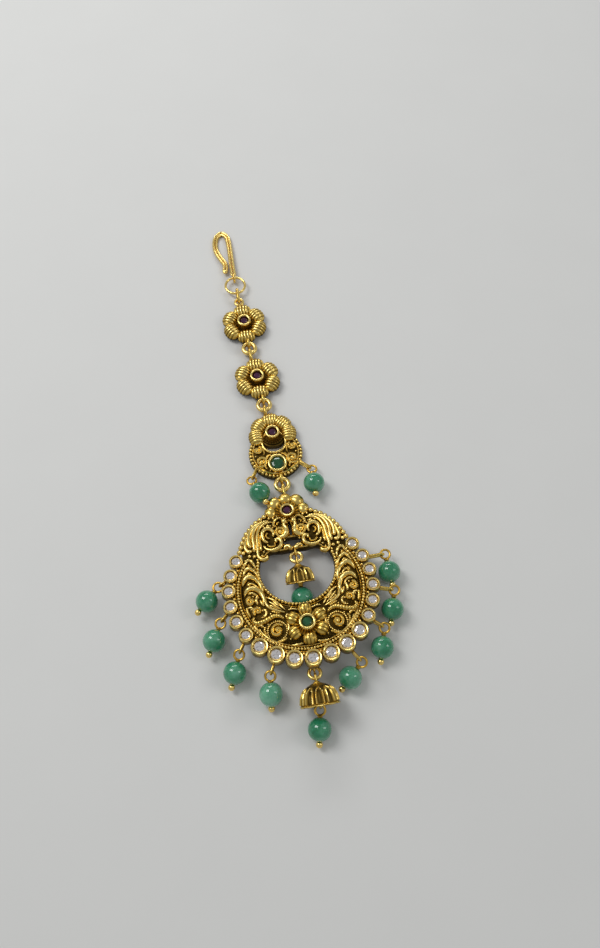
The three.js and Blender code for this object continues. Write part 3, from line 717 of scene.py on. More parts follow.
# how the drops hang
drops = [  # name, casting, eye angle, heading, length
    ("left_1", "pendant", -110, -46, 3.15),
    ("left_2", "pendant", -83.6, -29, 3.1),
    ("left_3", "pendant", -57, -23, 3.1),
    ("left_4", "pendant", -28.6, -7, 3.05),
    ("right_4", "pendant", 28.6, -49, 3.3),
    ("right_3", "pendant", 57, -17, 3.3),
    ("right_2", "pendant", 83.6, -17, 3.3),
    ("right_1", "pendant", 110, 1, 3.3),
    ("left", "station", -58, 20, 3.3), ("right", "station", 58, -3, 3.3)]
pinLook = {"wire": 0.21, "loop": 0.85, "ball": 0.58, "ballFromBead": 2.45, "wraps": 3, "beadRadius": 2.0,
    "loopTone": 0.55}


def outward(degrees):
    return np.array([math.sin(math.radians(degrees)), -math.cos(math.radians(degrees)), 0.0])


def onPendant(x, y, z):
    return np.array(pendantPlace @ Vector((x, y, z)))


def sideEyeShape(centre, away, stretch):
    path = ringPath(0.55, 40)
    path[:, 0] += np.sign(path[:, 0]) * stretch / 2
    line = centre + path[:, :1] * away + path[:, 1:2] * np.array([0, 0, 1.0])
    normal = np.cross(away, (0, 0, 1.0))
    return toned(sweep(line, 0.22, sides=10, up=normal, loop=True), 0.35, 1.0)


def pinShape(beadCentre, loopCentre):
    look = pinLook
    along = unit(beadCentre - loopCentre)
    across = unit(np.cross((0, 0, 1.0), along))
    third = np.cross(along, across)
    ring = ringPath(look["loop"], 40)
    loop = loopCentre + ring[:, :1] * along + ring[:, 1:2] * across
    parts = [toned(sweep(loop, look["wire"], sides=10, up=third, loop=True), 0.0, look["loopTone"])]
    stemStart = loopCentre + along * (look["loop"] - 0.1)
    ballCentre = beadCentre + along * look["ballFromBead"]
    stem = [stemStart, stemStart * 0.5 + ballCentre * 0.5, ballCentre]
    parts.append(sweep(stem, look["wire"] + 0.01, sides=8, up=third, tip=0.01))
    room = np.linalg.norm(beadCentre - stemStart) - look["beadRadius"]
    turns = np.linspace(0, 1, int(26 * look["wraps"]))
    spin = turns * 2 * np.pi * look["wraps"]
    reach = (0.10 + turns * max(room - 0.16, 0.15))[:, None]
    coil = stemStart + along * reach + (across * np.cos(spin)[:, None] + third * np.sin(spin)[:, None]) * 0.30
    parts.append(toned(sweep(coil, 0.15, sides=7, up=along, tip=0.04), 0.0, look["loopTone"]))
    knob = ball(0, 0, 0, look["ball"], 0.95, 12, 18, 0.35)
    parts.append((knob[0] + ballCentre, knob[1], knob[2]))
    return joinShapes(parts)


def beadShape(centre, along, long):
    radius = pinLook["beadRadius"] - 0.01
    a = np.linspace(-np.pi / 2 + 0.2, np.pi / 2 - 0.2, 26)
    edge = np.c_[radius * np.cos(a), radius * long * np.sin(a)]
    profile = np.vstack([[0.22, edge[0, 1] + 0.28], edge, [0.22, edge[-1, 1] - 0.28]])
    shape = turnedShape(profile, 44)
    turn = Vector((0, 0, 1)).rotation_difference(Vector(along))
    return placed(shape, Matrix.Translation(centre) @ turn.to_matrix().to_4x4())


beadTones = {"left_1": -0.05, "left_2": 0.05, "left_3": 0.0, "left_4": 0.22, "right_4": 0.12, "right_3": 0.02,
    "right_2": -0.04, "right_1": 0.06, "left": -0.02, "right": 0.1}
pendantEyes, stationEyes = [], []
for name, host, eyeAngle, heading, length in drops:
    station = host == "station"
    beadNode = ("station_bead_" if station else "bead_") + name
    pinNode = ("station_pin_" if station else "pin_") + name
    beadCentre = boxMiddle(beadNode) - shift
    if station:
        anchor = outward(eyeAngle) * 4.55 + np.array([-0.15, 28.25, 0])
        reach, backHeight = 0.6, 1.1
    else:
        flat = outward(eyeAngle) * 12.65
        anchor = onPendant(flat[0], flat[1], 0)
        reach, backHeight = (1.55 if abs(eyeAngle) < 56 else 1.28), anchor[2] + 0.1
    flatHeading = outward(heading)
    slope = math.asin((backHeight - 2.02) / (length + 0.85))
    along = flatHeading * math.cos(slope) + np.array([0, 0, -math.sin(slope)])
    loopCentre = beadCentre - along * length
    toAnchor = (anchor - loopCentre) * np.array([1, 1, 0])
    near = unit(toAnchor)
    side = np.cross((0, 0, 1.0), flatHeading)
    crossing = loopCentre + along * 0.85 * near.dot(flatHeading) + side * 0.85 * near.dot(side)
    inner = anchor * np.array([1, 1, 0]) - near * (reach - 0.3)
    eyeLength = (crossing * np.array([1, 1, 0]) - inner).dot(-near) + 0.52
    centre = inner - near * eyeLength / 2
    centre[2] = crossing[2] + 0.15
    (stationEyes if station else pendantEyes).append(sideEyeShape(centre, -near, max(eyeLength - 1.1, 0)))
    bead = beadShape(beadCentre, along, 1.04 if name == "left_4" else 0.985)
    makePiece("bead_" + host + "_" + name, [beadNode], bead, beadFinish, tone=beadTones[name])
    makePiece("pin_" + host + "_" + name, [pinNode], pinShape(beadCentre, loopCentre), wireFinish)
stationShape = moved(onFloor(joinShapes(stationParts)), -0.15, 28.25)
makePiece("stationCasting", ["station"], joinShapes([stationShape] + stationEyes), goldFinish)
print("beads and pins made")

# the pendant, drawn in its own plane (x across, y towards the hook, z off its back)
pendantLook = {"thick": 1.5, "band": 11.9, "row": 12.65, "openY": 4.1, "openRadius": 6.65, "topY": 15.35,
    "lowY": -6.8, "openGrain": 0.33, "rimGrain": 0.30}
p = pendantLook


def arc(x, y, radius, start, end, steps):
    return ringPath(radius, steps, start, end, False)[:, :2] + np.array([x, y])


def onDome(x, y):
    outside = 10.35 - np.hypot(x, y)
    inside = np.hypot(x, y - p["openY"]) - 7.75
    width = np.maximum(outside + inside, 0.01)
    across = np.clip(np.minimum(outside, inside) / width, 0, 0.5) * 2
    bulge = np.sqrt(np.clip(1 - (1 - across) ** 2, 0, 1))
    return 1.10 + 0.72 * bulge * np.clip(width / 3.2, 0.25, 1)


def domeAt(x, y):
    return float(onDome(np.array([x]), np.array([y]))[0])


# outline: the row's band, the shoulders and the top flower's back
band = arc(0, 0, p["band"], 142, 398, 150)
shoulderRight = smoothPath([(9.5, 8.7), (8.5, 11.0), (6.9, 13.2), (4.7, 14.8), (3.35, 16.3)], 7)
top = arc(0, p["topY"], 3.1, 22, 158, 30)
outline = np.vstack([band[:-1], shoulderRight, top[1:-1], (shoulderRight * np.array([-1, 1]))[::-1][:-1]])
openEdge = arc(0, p["openY"], p["openRadius"], 158, 382, 110)
lintel = smoothPath([(6.1, 6.75), (5.35, 6.85), (4.7, 7.5), (3.6, 7.75), (2.2, 7.55), (1.0, 7.6), (0, 7.7)], 5)
openHole = np.vstack([openEdge, lintel[1:-1], (lintel * np.array([-1, 1]))[::-1][:-1]])
a = np.linspace(0, 2 * np.pi, 40, endpoint=False)
window = np.c_[1.75 * np.cos(a), 9.25 + 0.85 * np.sin(a) + 0.28 * np.cos(a) ** 2]
slotHole = np.c_[0.27 * np.cos(a), 12.0 + 1.5 * np.sin(a)]
parts = [sheetShape([outline, openHole, window, slotHole], 0, 1.2, 0.15, 0.04)]

# crescent dome
spin = np.linspace(-114, 114, 150)
rows = []
for angle in spin:
    d = outward(angle)[:2]
    far = 10.35
    b = d[1] * p["openY"]
    near = b + math.sqrt(max(b * b - p["openY"] ** 2 + 7.75 ** 2, 0))
    near = min(near, far - 0.3)
    t = np.linspace(0, 1, 15)
    line = (near + (far - near) * t)[:, None] * d
    z = onDome(line[:, 0], line[:, 1])
    low = np.c_[line[[0, -1]], [0.9, 0.9]]
    rows.append(np.vstack([low[0], np.c_[line, z], low[1]]))
domeGrid = np.array(rows)
domeHigh = np.tile(np.concatenate([[0], 0.07 * np.sin(np.linspace(0, np.pi, 15)), [0]]), (len(rows), 1))
parts.append(gridShape(domeGrid, domeHigh))

# plain lines and milgrain round the opening and round the crescent
edgeLine = arc(0, p["openY"], p["openRadius"] + 0.28, 164, 376, 110)
edgeLine = edgeLine + (edgeLine - np.array([0, p["openY"]])) * 0.004
parts.append(grainRow(atHeight(edgeLine, 1.42), p["openGrain"], 0.60, flat=1.0))
innerLine = arc(0, p["openY"], p["openRadius"] + 0.86, 167, 373, 110)
parts.append(sweep(atHeight(innerLine, 1.30), 0.12, 0.26, 8, tip=0.02))
parts.append(sweep(atHeight(arc(0, 0, 10.5, 152, 388, 150), 1.32), 0.14, 0.26, 8, tip=0.02))
parts.append(grainRow(atHeight(arc(0, 0, 10.98, 147, 393, 180), 1.46), p["rimGrain"], 0.54, flat=1.0))
parts.append(sweep(atHeight(arc(0, 0, 11.42, 146, 394, 150), 1.28), 0.10, 0.22, 8, tip=0.02))

# bezel row
angles = [0] + [w * i * 14.3 for i in (1, 2, 3) for w in (-1, 1)]
angles += [w * (57 + i * 13.3) for i in range(6) for w in (-1, 1)]
spots = [outward(a) * p["row"] for a in angles]
sizes = [(1, 1, 1) if abs(a) < 56 else (0.84, 0.84, 0.97) for a in angles]
parts.append(repeated(bezel(1.53, 1.13, 1.72, 0.75, 0.0, 26), spots, angles, sizes))
betweens = sorted(angles)
gaps = [outward((a + b) / 2) * 11.75 + np.array([0, 0, 1.15]) for a, b in zip(betweens, betweens[1:])]
parts.append(repeated(ball(0, 0, 0, 0.30, 0.9, 5, 8), gaps, [0] * len(gaps)))
clearSpots, clearSizes = [s + np.array([0, 0, 0.86]) for s in spots], sizes

# shoulder grains, the largest in the middle
shoulderLine = smoothPath([(9.7, 8.6), (9.0, 10.3), (7.9, 12.2), (6.4, 13.75), (4.6, 14.85), (3.6, 15.6)], 8)
parts += bothSides(grainRow(atHeight(shoulderLine, 1.40), 0.50, 0.95))
inside = smoothPath([(8.9, 8.5), (8.2, 10.0), (7.1, 11.65), (5.7, 13.0), (4.1, 13.95)], 8)
parts += bothSides(sweep(atHeight(inside, 1.28), 0.14, 0.26, 8, tip=0.04))

# top flower
topPetals = [(0, 18.15, 1.0, 0), (-2.1, 17.6, 1.05, 50), (2.1, 17.6, 1.05, -50), (-3.0, 15.75, 0.95, 95),
             (3.0, 15.75, 0.95, -95)]
for x, y, size, a in topPetals:
    petal = toned(barrelPetal(1.22 * size, 1.34 * size, 1.10 * size, 0.90, 0, 0, 25, 20), 0.0, 0.78)
    parts.append(moved(petal, x, y, 0, a))
parts.append(moved(flutedDish(1.15, 2.2, 1.2, 1.75, 20, 0.14), 0, p["topY"]))
parts.append(moved(bezel(1.35, 0.93, 2.45, 1.35, 0.3), 0, p["topY"]))
parts.append(castEye(0.1, 20.1, 0.9, 0.9))

# peacocks either side of the slot
z = 1.32
bird = [
    strand([(2.6, 10.35), (1.5, 10.35), (0.85, 10.9), (0.8, 11.8), (1.05, 12.5), (0.85, 13.1)], z + 0.25, 0.50,
        0.72, 14, swell=(0.5, 1.05, 1.25, 1.1, 0.8, 0.65), steps=9),
    ball(0.88, 13.35, z + 0.36, 0.56, 0.95, 10, 14, 0.35),
    sweep(atHeight([(0.66, 13.45), (0.42, 13.25), (0.32, 12.85)], z + 0.32), 0.19, 0.24, 8, tip=0.4),
    ball(0.78, 13.48, z + 0.84, 0.12, 0.8, 5, 8, 0.9),
    scroll(1.85, 11.45, 0.98, 1.5, -80, 1, z + 0.35, 0.24, 0.42, swell=(1.1, 1.1, 1.0, 0.8)),
    strand([(1.25, 14.35), (2.1, 14.15), (2.75, 13.55), (2.85, 12.85), (2.4, 12.55)], z + 0.15, 0.26, 0.42, 10,
        swell=(0.6, 1, 1.1, 1, 0.8)),
    strand([(1.7, 13.45), (2.15, 13.25), (2.15, 12.8)], z + 0.12, 0.2, 0.34, tip=0.2),
    # loop with its eye
    strand([(3.35, 10.6), (3.15, 11.35), (3.55, 12.15), (4.35, 12.35), (5.05, 11.8), (5.2, 10.9), (4.95, 10.0),
        (4.3, 9.6)], z + 0.2, 0.36, 0.56, 12, tip=0.08, swell=(0.6, 1.0, 1.2, 1.1, 0.9, 0.7), steps=9),
    strand([(4.1, 11.55), (4.5, 11.2), (4.4, 10.6), (3.9, 10.35)], z + 0.2, 0.22, 0.44, tip=0.15),
    ball(3.95, 12.95, z + 0.15, 0.36, 0.9, 8, 12, 0.3),
    # broad curl over the opening
    strand([(2.75, 9.35), (2.95, 9.75), (2.65, 10.05), (2.2, 9.85), (2.0, 9.2), (2.3, 8.5), (3.1, 8.05),
        (4.1, 8.05), (4.95, 8.5), (5.25, 9.3)], z + 0.2, 0.33, 0.52, 12, tip=0.06,
        swell=(0.75, 0.9, 1.1, 1.25, 1.15, 0.8, 0.45)),
    strand([(3.25, 9.5), (3.2, 8.95), (3.7, 8.75), (4.3, 8.95), (4.5, 9.35)], z + 0.15, 0.2, 0.36),
    # small curl that meets its twin over the bell's ring
    strand([(0.0, 7.9), (0.55, 8.0), (0.85, 8.35), (1.35, 8.4), (1.75, 8.0)], z + 0.12, 0.36, 0.5, 10,
        swell=(0.8, 1.1, 1.1, 0.8, 0.5)),
]
for i, (x, y) in enumerate(((0.55, 13.95), (0.9, 14.1), (1.25, 13.98))):
    bird.append(sweep(atHeight([(0.9 + 0.12 * (i - 1), 13.55), (x, y)], z + 0.3), 0.09, 0.12, 6, tip=0.3))
    bird.append(ball(x, y, z + 0.32, 0.15, 0.9, 5, 8, 0.4))
# long feathers sweeping down over the wing to their scrolled tips
feathers = (
    ([(2.95, 13.75), (4.3, 13.6), (5.5, 12.8), (6.15, 11.3), (6.3, 9.6), (6.45, 8.1), (6.4, 7.1), (5.75, 6.45),
        (4.95, 6.7), (4.85, 7.3)], 0.34, 0.52),
    ([(3.6, 14.1), (5.2, 13.75), (6.4, 12.7), (6.95, 11.2), (6.95, 9.6), (7.05, 8.2)], 0.36, 0.44),
    ([(5.0, 14.1), (6.5, 13.2), (7.6, 11.8), (7.85, 10.2), (7.6, 9.1)], 0.40, 0.42),
    ([(7.9, 11.6), (8.4, 10.3), (8.55, 9.2), (8.1, 8.4), (7.45, 8.6)], 0.34, 0.44),
    ([(5.3, 11.9), (5.75, 10.6), (5.75, 9.3), (5.85, 8.2)], 0.24, 0.42))
for path, width, height in feathers:
    bird.append(strand(path, z + 0.06, width, height, 12, swell=(0.55, 0.9, 1.05, 1.05, 1.1, 0.9), steps=9))
birdDots = (
    (9.05, 8.35, 0.42), (7.15, 7.35, 0.34), (8.05, 7.55, 0.36), (3.0, 11.95, 0.2), (4.75, 13.05, 0.22),
    (2.0, 14.75, 0.24), (3.55, 13.0, 0.18), (3.1, 12.55, 0.17), (2.75, 14.45, 0.26), (3.55, 14.55, 0.24),
    (8.75, 9.95, 0.2), (5.35, 8.0, 0.2), (5.75, 7.3, 0.22), (6.75, 6.6, 0.24), (1.35, 9.75, 0.2),
    (3.0, 10.25, 0.17))
for x, y, r in birdDots:
    bird.append(ball(x, y, z + 0.1, r, 0.85, 7, 10, 0.15))
brow = smoothPath([(0, 8.05), (1.0, 7.95), (2.2, 7.9), (3.6, 8.1), (4.75, 7.85), (5.4, 7.2), (6.15, 7.05)], 6)
bird.append(sweep(atHeight(brow, z - 0.02), 0.15, 0.28, 8, tip=0.02))
windowEdge = window * np.array([1.12, 1]) + (window - np.array([0, 9.3])) * np.array([0, 0.2])
for shape in bird:
    parts += bothSides(shape)
parts.append(sweep(atHeight(windowEdge, z - 0.02), 0.13, 0.26, 8, loop=True))
slotEdge = slotHole * np.array([1.7, 1]) + (slotHole - np.array([0, 12.0])) * np.array([0, 0.12])
parts.append(sweep(atHeight(slotEdge, z), 0.12, 0.26, 8, loop=True))
print("peacocks made")


# work on the crescent, over its dome
def rise(dz):
    return lambda x, y: onDome(x, y) + dz


work = [
    scroll(5.2, -7.2, 1.2, 1.45, 150, -1, rise(0.28), 0.30, 0.55, swell=(0.8, 1.1, 1.1, 1.0, 0.8)),
    scroll(8.95, -1.25, 0.80, 1.25, 100, -1, rise(0.22), 0.30, 0.55, swell=(1, 1.1, 1, 0.9)),
    scroll(8.0, -3.2, 0.78, 1.25, -60, 1, rise(0.22), 0.28, 0.52, swell=(1, 1.1, 1, 0.9)),
    scroll(8.75, 2.0, 0.40, 1.0, 100, -1, rise(0.12), 0.18, 0.32),
    scroll(8.45, 3.95, 0.36, 1.0, 100, -1, rise(0.12), 0.17, 0.30),
    scroll(8.35, 5.75, 0.34, 1.0, 100, -1, rise(0.12), 0.16, 0.28),
]
leaves = (  # path, half width, ribs across it
    ([(9.2, 1.75), (8.5, 2.1), (7.9, 1.75), (7.45, 1.0)], 0.17, 0),
    ([(9.3, 0.1), (8.6, 0.25), (7.95, -0.15), (7.45, -0.9)], 0.19, 0),
    ([(9.0, 3.95), (8.5, 4.15), (8.0, 3.75)], 0.15, 0),
    ([(9.75, -2.4), (9.15, -2.3), (8.75, -2.75), (8.85, -3.4)], 0.20, 0),
    ([(7.1, -2.9), (6.6, -3.5), (6.75, -4.2), (7.3, -4.5)], 0.22, 0),
    ([(7.35, -1.15), (7.15, -1.9), (6.75, -2.5)], 0.20, 0),
    ([(5.85, -3.55), (5.0, -3.95), (4.2, -4.2)], 0.18, 5),
    ([(2.9, -4.35), (3.3, -4.9), (3.25, -5.6)], 0.2, 0),
    ([(6.95, -8.3), (6.0, -8.95), (4.9, -9.0)], 0.15, 0),
    ([(9.0, -5.0), (8.2, -6.6), (7.2, -7.6)], 0.15, 0),
    ([(7.35, -6.2), (7.75, -5.75), (8.3, -5.75)], 0.17, 0),
    ([(3.4, -6.0), (3.15, -6.7), (3.35, -7.5), (3.2, -8.2)], 0.2, 0),
    ([(9.35, 5.2), (9.0, 6.2), (8.45, 6.85), (7.85, 6.45), (7.45, 5.6), (7.35, 4.8)], 0.26, 0),
    ([(9.75, 3.7), (9.35, 4.55), (8.75, 5.1), (7.95, 4.75), (7.25, 3.9), (7.0, 2.8)], 0.30, 0),
    ([(9.95, 1.9), (9.6, 2.8), (8.9, 3.4), (7.95, 3.1), (7.1, 2.2), (6.75, 1.0), (6.75, 0.1)], 0.42, 0),
    ([(9.9, -0.1), (9.3, 0.85), (8.4, 1.05), (7.4, 0.55), (6.8, -0.5), (6.65, -1.5), (7.0, -2.3)], 0.42, 0),
    ([(8.6, -4.0), (8.95, -4.6), (8.5, -5.25), (7.4, -5.3), (6.3, -4.95), (5.3, -4.6), (4.3, -4.85), (3.7, -5.4)],
        0.40, 17),
    ([(9.85, -2.0), (9.7, -3.1), (9.35, -4.0)], 0.26, 6),
    ([(6.35, -0.75), (6.45, -1.7), (6.2, -2.6), (5.4, -3.3), (4.4, -3.75), (3.4, -4.1)], 0.24, 0),
    ([(6.35, -0.75), (5.5, -1.1), (4.7, -1.75), (4.0, -2.65), (3.35, -3.6)], 0.22, 0),
    ([(5.95, -1.6), (5.3, -2.2), (4.6, -2.9), (3.9, -3.55)], 0.15, 0),
    ([(5.35, -1.5), (4.85, -2.05), (4.3, -2.75)], 0.13, 0),
    ([(5.95, -2.35), (5.2, -2.85), (4.5, -3.35)], 0.13, 0),
    ([(7.6, -0.2), (8.0, -1.3), (7.8, -2.1)], 0.24, 0),
    ([(7.9, 1.9), (7.6, 1.1), (7.75, 0.3)], 0.2, 0),
    ([(8.25, -6.1), (7.5, -7.4), (6.4, -8.5), (5.0, -9.3), (3.5, -9.75)], 0.20, 0),
    ([(9.4, -4.6), (8.6, -6.2), (7.4, -7.9)], 0.16, 0),
    ([(3.6, -8.6), (4.6, -9.0), (5.6, -8.85)], 0.17, 6),
    ([(1.0, -9.95), (2.4, -10.0), (3.7, -9.9)], 0.18, 0),
    ([(1.05, -4.05), (1.9, -3.7), (2.9, -3.7)], 0.17, 0), ([(6.95, -6.0), (7.35, -6.7), (7.1, -7.6)], 0.2, 5))
for path, width, ribs in leaves:
    swell = (0.5, 0.95, 1.1, 1.05, 0.9, 0.5)
    work.append(strand(path, rise(0.16), width * 1.12, width * 1.75, 12, 0.12, swell, 9, ribs))
leafDots = (
    (8.45, -0.35, 0.2), (9.75, 0.75, 0.16), (7.4, 1.45, 0.16), (9.75, 2.9, 0.15), (7.65, 3.45, 0.17),
    (9.3, 3.3, 0.15), (9.55, 5.0, 0.16), (8.0, 2.6, 0.14), (8.35, 4.7, 0.14), (7.15, -3.2, 0.22),
    (7.0, -4.15, 0.24), (9.1, -2.65, 0.2), (5.9, -4.0, 0.2), (7.4, -4.4, 0.18), (3.35, -6.35, 0.22),
    (3.3, -7.2, 0.2), (4.3, -5.75, 0.2), (7.6, -5.95, 0.22), (6.6, -5.75, 0.18), (8.35, -5.7, 0.17),
    (3.2, -8.9, 0.2), (6.7, -9.05, 0.16), (7.7, -8.2, 0.15), (6.1, -0.2, 0.14), (5.2, -1.0, 0.13),
    (2.3, -3.25, 0.17), (8.9, 6.9, 0.24), (9.45, 6.35, 0.22))
for x, y, r in leafDots:
    work.append(ball(x, y, domeAt(x, y) + 0.08, r, 0.9, 6, 9, 0.2))
for shape in work:
    parts += bothSides(shape)
stipple = []
for row in range(60):
    for col in range(70):
        x, y = -10.3 + 0.30 * col + 0.15 * (row % 2), -10.3 + 0.27 * row
        if math.hypot(x, y) < 10.15 and math.hypot(x, y - p["openY"]) > 7.95 and y < 7.2:
            stipple.append((x, y, domeAt(x, y) + 0.01))
parts.append(toned(repeated(ball(0, 0, 0, 0.10, 1.0, 3, 6), stipple, [0] * len(stipple)), 0.0, 0.35))
rosette = atHeight(holeLoop(5.2, -7.2, 1.66), rise(0.16))
parts += bothSides(grainRow(rosette, 0.22, 0.38, True))
# low flower
for i, a in enumerate((0, 62, 118, 180, -118, -62)):
    petal = toned(barrelPetal(1.18, 1.28, 1.0, 1.95, 4, 0.04, 33, 20), 0.0, 0.8)
    x, y = -2.65 * math.sin(math.radians(a)), p["lowY"] + 2.65 * math.cos(math.radians(a))
    parts.append(moved(petal, x, y, 0, a))
parts.append(moved(flutedDish(1.2, 2.3, 2.2, 2.6, 22, 0.13), 0, p["lowY"]))
parts.append(moved(bezel(1.46, 1.0, 3.25, 2.25, 1.2, 36), 0, p["lowY"]))
parts += [castEye(0.2, 7.15, 0.9, 0, 0.62, 0.22), castEye(-0.15, -13.75, -0.48, 0, 0.62, 0.22)]
pendantShape = placed(joinShapes(parts), pendantPlace)
makePiece("pendantCasting", ["pendant"], joinShapes([pendantShape] + pendantEyes), goldFinish)
print("pendant made")

# stones
stones = []
for spot, size in zip(clearSpots, clearSizes):
    one = stone(1.05 * size[0], 0.80)
    stones.append(placed((one[0] + spot, one[1], one[2]), pendantPlace))
# stars gives every facet of the clear stones a painted glint in its colour
makePiece("clearStones", [], joinShapes(stones), clearFinish, facets=True, stars=len(stones))
for name, node, radius, height, finish, slot, z, tilted in (
        ("stoneFlowerUpper", "stone_flower_upper", 0.80, 0.85, purpleFinish, "purple_stone", 1.72, False),
        ("stoneFlowerLower", "stone_flower_lower", 0.80, 0.85, purpleFinish, "purple_stone", 1.72, False),
        ("stoneStationPurple", "stone_station_purple", 0.80, 0.85, purpleFinish, "purple_stone", 1.72, False),
        ("stoneStationGreen", "stone_station_green", 1.33, 0.75, greenFinish, "green_stone", 1.12, False),
        ("stonePendantPurple", "stone_pendant_purple", 0.78, 0.85, purpleFinish, "purple_stone", 1.48, True),
        ("stonePendantGreen", "stone_pendant_green", 0.92, 0.80, greenFinish, "green_stone", 2.38, True)):
    shape = stone(radius, height)
    if tilted:
        y = p["topY"] if "Purple" in name else p["lowY"]
        shape = placed(moved(shape, 0, y, z), pendantPlace)
    else:
        middle = boxMiddle(node) - shift
        shape = moved(shape, middle[0], middle[1], z)
    makePiece(name, [node], shape, finish, facets=True)
print("stones set")

# bells, their rings and their beads
# pitch is how far the solid leans and places its bead, dip is how far the bell itself leans
bellLook = {
    "inner": {"rim": 2.65, "length": 3.2, "pitch": 3, "dip": 17, "ringY": 6.15, "ringRise": 0.9, "x": 0.2,
              "eyeDepth": 1.1, "arches": 9, "tone": 0.04},
    "lower": {"rim": 3.4, "length": 3.75, "pitch": 3, "dip": 11, "ringY": -14.75, "ringRise": -0.48, "x": -0.15,
              "eyeDepth": 3.3, "arches": 10, "tone": 0.0}}
bellEyeRise = 0.3  # how much higher than its ring's far end a bell's eye is


def bellWall(rim, length, arches):
    knots = np.array([0, 0.04, 0.14, 0.32, 0.55, 0.78, 0.92, 1.0])
    radii = np.array([0.16, 0.34, 0.53, 0.71, 0.83, 0.88, 0.90, 0.95])
    y = np.linspace(0, 1, 60)
    radius = np.interp(y, knots, radii)
    radius = np.convolve(np.pad(radius, 3, mode="edge"), np.ones(7) / 7, "valid") * rim
    sides = arches * 22
    angle = np.linspace(0, 2 * np.pi, sides, endpoint=False)
    cell = ((angle * arches / (2 * np.pi)) % 1.0) * 2 - 1  # across one arch
    yy, cc = np.meshgrid(y, cell, indexing="ij")
    reach = 0.76 * np.clip((yy - 0.14) / 0.22, 0, 1) ** 0.5  # an arch is pointed at the neck and straight below
    ridge = np.exp(-((np.abs(cc) - reach + 0.12) / 0.19) ** 2)
    ridge = ridge * np.clip((yy - 0.12) / 0.06, 0, 1) * np.clip((0.90 - yy) / 0.05, 0, 1)
    belly = np.clip(1 - (np.abs(cc) / 0.30) ** 2, 0, 1)
    belly = belly * np.clip((yy - 0.34) / 0.2, 0, 1) * np.clip((0.88 - yy) / 0.06, 0, 1)
    scallop = np.sqrt(np.clip(1 - cc ** 2, 0, 1))
    brim = np.exp(-((yy - 0.945) / 0.045) ** 2)
    push = 0.40 * ridge + 0.08 * belly + (0.16 + 0.22 * scallop) * brim
    outerRadius = radius[:, None] + rim / 3.4 * push * np.clip(yy * 4, 0.3, 1)
    high = np.clip(0.02 + 0.45 * (yy < 0.12) + 1.0 * ridge + 0.12 * belly + (0.55 + 0.45 * scallop) * brim, 0, 1)
    outerLength = yy * length - 0.12 * (1 - scallop) * np.clip((yy - 0.85) / 0.15, 0, 1)
    outer = np.stack([outerRadius * np.cos(angle), outerRadius * np.sin(angle), outerLength], axis=-1)
    innerRadius = (radius[:, None] - 0.3).clip(0.05)  # the wall is 0.3 mm thick
    innerLength = yy * (length - 0.02) + 0.32 * (1 - yy)
    inner = np.stack([innerRadius * np.cos(angle), innerRadius * np.sin(angle), innerLength], axis=-1)[::-1]
    grid = np.vstack([outer, inner])
    return gridShape(grid, np.vstack([high, np.full_like(high, 0.12)]))


# the eye's middle is loopReach above the bell's neck
for name, b in bellLook.items():
    pitch = math.radians(b["pitch"])
    axis = np.array([0, -math.cos(pitch), -math.sin(pitch)])
    ringEnd = onPendant(b["x"], b["ringY"] - 1.0, b["ringRise"])
    loopReach = 0.74
    neckHeight = b["rim"] * math.cos(pitch) + 0.05 + b["length"] * math.sin(pitch)
    neck = np.array([b["x"], ringEnd[1] + axis[1] * loopReach, neckHeight])
    crossing = neck + axis * (b["eyeDepth"] + 0.2)
    # the bell lies on its rim, mouth down a little
    pitch = math.radians(b["dip"])
    axis = np.array([0, -math.cos(pitch), -math.sin(pitch)])
    neck[2] = b["rim"] * math.cos(pitch) + 0.05 + b["length"] * math.sin(pitch)
    lean = math.asin(bellEyeRise / 2)
    neck[1] = ringEnd[1] + axis[1] * loopReach + 2 - 2 * math.cos(lean)
    turn = Vector((0, 0, 1)).rotation_difference(Vector(axis)).to_matrix().to_4x4()
    archTurn = Matrix.Rotation(math.radians(90 + 180 / b["arches"]), 4, "Z")
    wall = placed(bellWall(b["rim"] - 0.02, b["length"], b["arches"]), Matrix.Translation(neck) @ turn @ archTurn)
    loopCentre = neck - axis * loopReach
    loopCentre[2] = ringEnd[2] + bellEyeRise
    eye = castEye(*loopCentre, 0.4, 0.62, 0.23)
    innerEye = castEye(*(crossing + np.array([0, 0.2, 0])), 0, 0.62, 0.22)
    neckBead = placed(ball(0, 0, 0.05, 0.62, 0.6, 8, 18, 0.3), Matrix.Translation(neck) @ turn)
    stemPath = [loopCentre + np.array([0, -0.6, 0]), neck - axis * 0.1, neck + axis * 0.3]
    stem = sweep(stemPath, 0.26, sides=10, tip=0.02)
    bellParts = [wall, eye, innerEye, neckBead, toned(stem, 0.4, 0.9)]
    if b["eyeDepth"] > 1.5:
        post = [neck + axis * 0.1, (neck + crossing) / 2, crossing + np.array([0, 0.9, 0])]
        bellParts.append(sweep(post, 0.24, sides=8, tip=0.02))
    makePiece(name + "Bell", [name + "_bell"], joinShapes(bellParts), goldFinish)
    ringTop = Matrix.Translation((b["x"], b["ringY"] + 1.0, b["ringRise"]))
    ringShape = placed(flatLoop(0, -1.0, 0, 1.0, 0.31), pendantPlace @ ringTop @ Matrix.Rotation(-lean, 4, "X"))
    makePiece(name + "Ring", [name + "_ring"], ringShape, wireFinish)
    beadCentre = boxMiddle(name + "_bead") - shift
    along = unit(beadCentre - crossing)
    makePiece(name + "Bead", [name + "_bead"], beadShape(beadCentre, along, 0.985), beadFinish,
              tone=b["tone"])
    makePiece(name + "Pin", [name + "_pin"], pinShape(beadCentre, crossing + along * 0.85), wireFinish)
print("bells made")

# floor, light and camera
stageLook = {"floor": 0.9, "paper": (0.74, 0.745, 0.73), "key": 0.80, "fill": 0.16, "back": 0.42, "sky": 0.36}


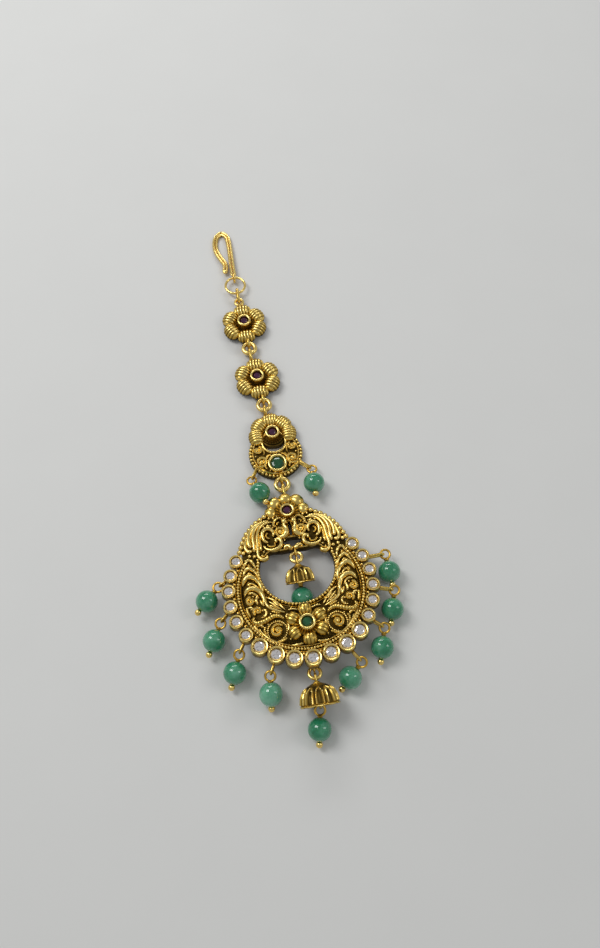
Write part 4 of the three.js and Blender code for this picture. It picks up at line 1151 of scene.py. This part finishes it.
def stageFloor():
    mesh = bpy.data.meshes.new("floor")
    half = stageLook["floor"]
    mesh.from_pydata([(-half, -half, 0), (half, -half, 0), (half, half, 0), (-half, half, 0)], [], [(0, 1, 2, 3)])
    floor = bpy.data.objects.new("floor", mesh)
    bpy.context.scene.collection.objects.link(floor)
    floor.location.z = -0.00002
    finish, nodes, links, shader = newFinish("paperFloor")
    paper = stageLook["paper"]
    shaded = tuple(0.985 * c for c in paper)
    tint = rampOn(nodes, links, noiseOn(nodes, links, 60.0), [(0.3, shaded), (0.7, paper)])
    links.new(tint, shader.inputs["Base Color"])
    shader.inputs["Roughness"].default_value = 0.75
    mesh.materials.append(finish)


def softBox(name, place, aim, size, power):
    lamp = bpy.data.lights.new(name, "AREA")
    lamp.shape, lamp.size, lamp.size_y, lamp.energy = "RECTANGLE", size[0], size[1], power
    holder = bpy.data.objects.new(name, lamp)
    holder.location = place
    holder.rotation_euler = (Vector(aim) - Vector(place)).to_track_quat("-Z", "Y").to_euler()
    bpy.context.scene.collection.objects.link(holder)


stageFloor()
softBox("keyWindow", (-0.22, 0.16, 0.38), (0, 0, 0), (0.16, 0.24), stageLook["key"])
softBox("fillWindow", (0.32, -0.05, 0.30), (0, 0, 0), (0.10, 0.16), stageLook["fill"])
softBox("backStrip", (0.02, 0.42, 0.22), (0, 0, 0), (0.30, 0.06), stageLook["back"])
world = bpy.data.worlds.new("room")
world.use_nodes = True
world.node_tree.nodes["Background"].inputs["Color"].default_value = (1, 1, 1, 1)
world.node_tree.nodes["Background"].inputs["Strength"].default_value = stageLook["sky"]
bpy.context.scene.world = world

cameraLook = {"place": (-7.208, -41.732, 142.2), "heading": 9.57, "pitch": 65.0, "lens": 31.1392}
camera = bpy.data.objects.new("camera", bpy.data.cameras.new("camera"))
camera.data.sensor_fit, camera.data.sensor_width, camera.data.sensor_height = "AUTO", 36, 36
camera.data.lens = cameraLook["lens"]
camera.data.clip_start = 0.001
camera.location = (np.array(cameraLook["place"]) + shift * np.array([1, 1, 0])) * 0.001
heading, pitch = math.radians(cameraLook["heading"]), math.radians(cameraLook["pitch"])
look = Vector((math.sin(heading) * math.cos(pitch), math.cos(heading) * math.cos(pitch), -math.sin(pitch)))
camera.rotation_euler = look.to_track_quat("-Z", "Y").to_euler()
bpy.context.scene.collection.objects.link(camera)
bpy.context.scene.camera = camera
bpy.context.scene.view_settings.view_transform = "Standard"
print("stage set")
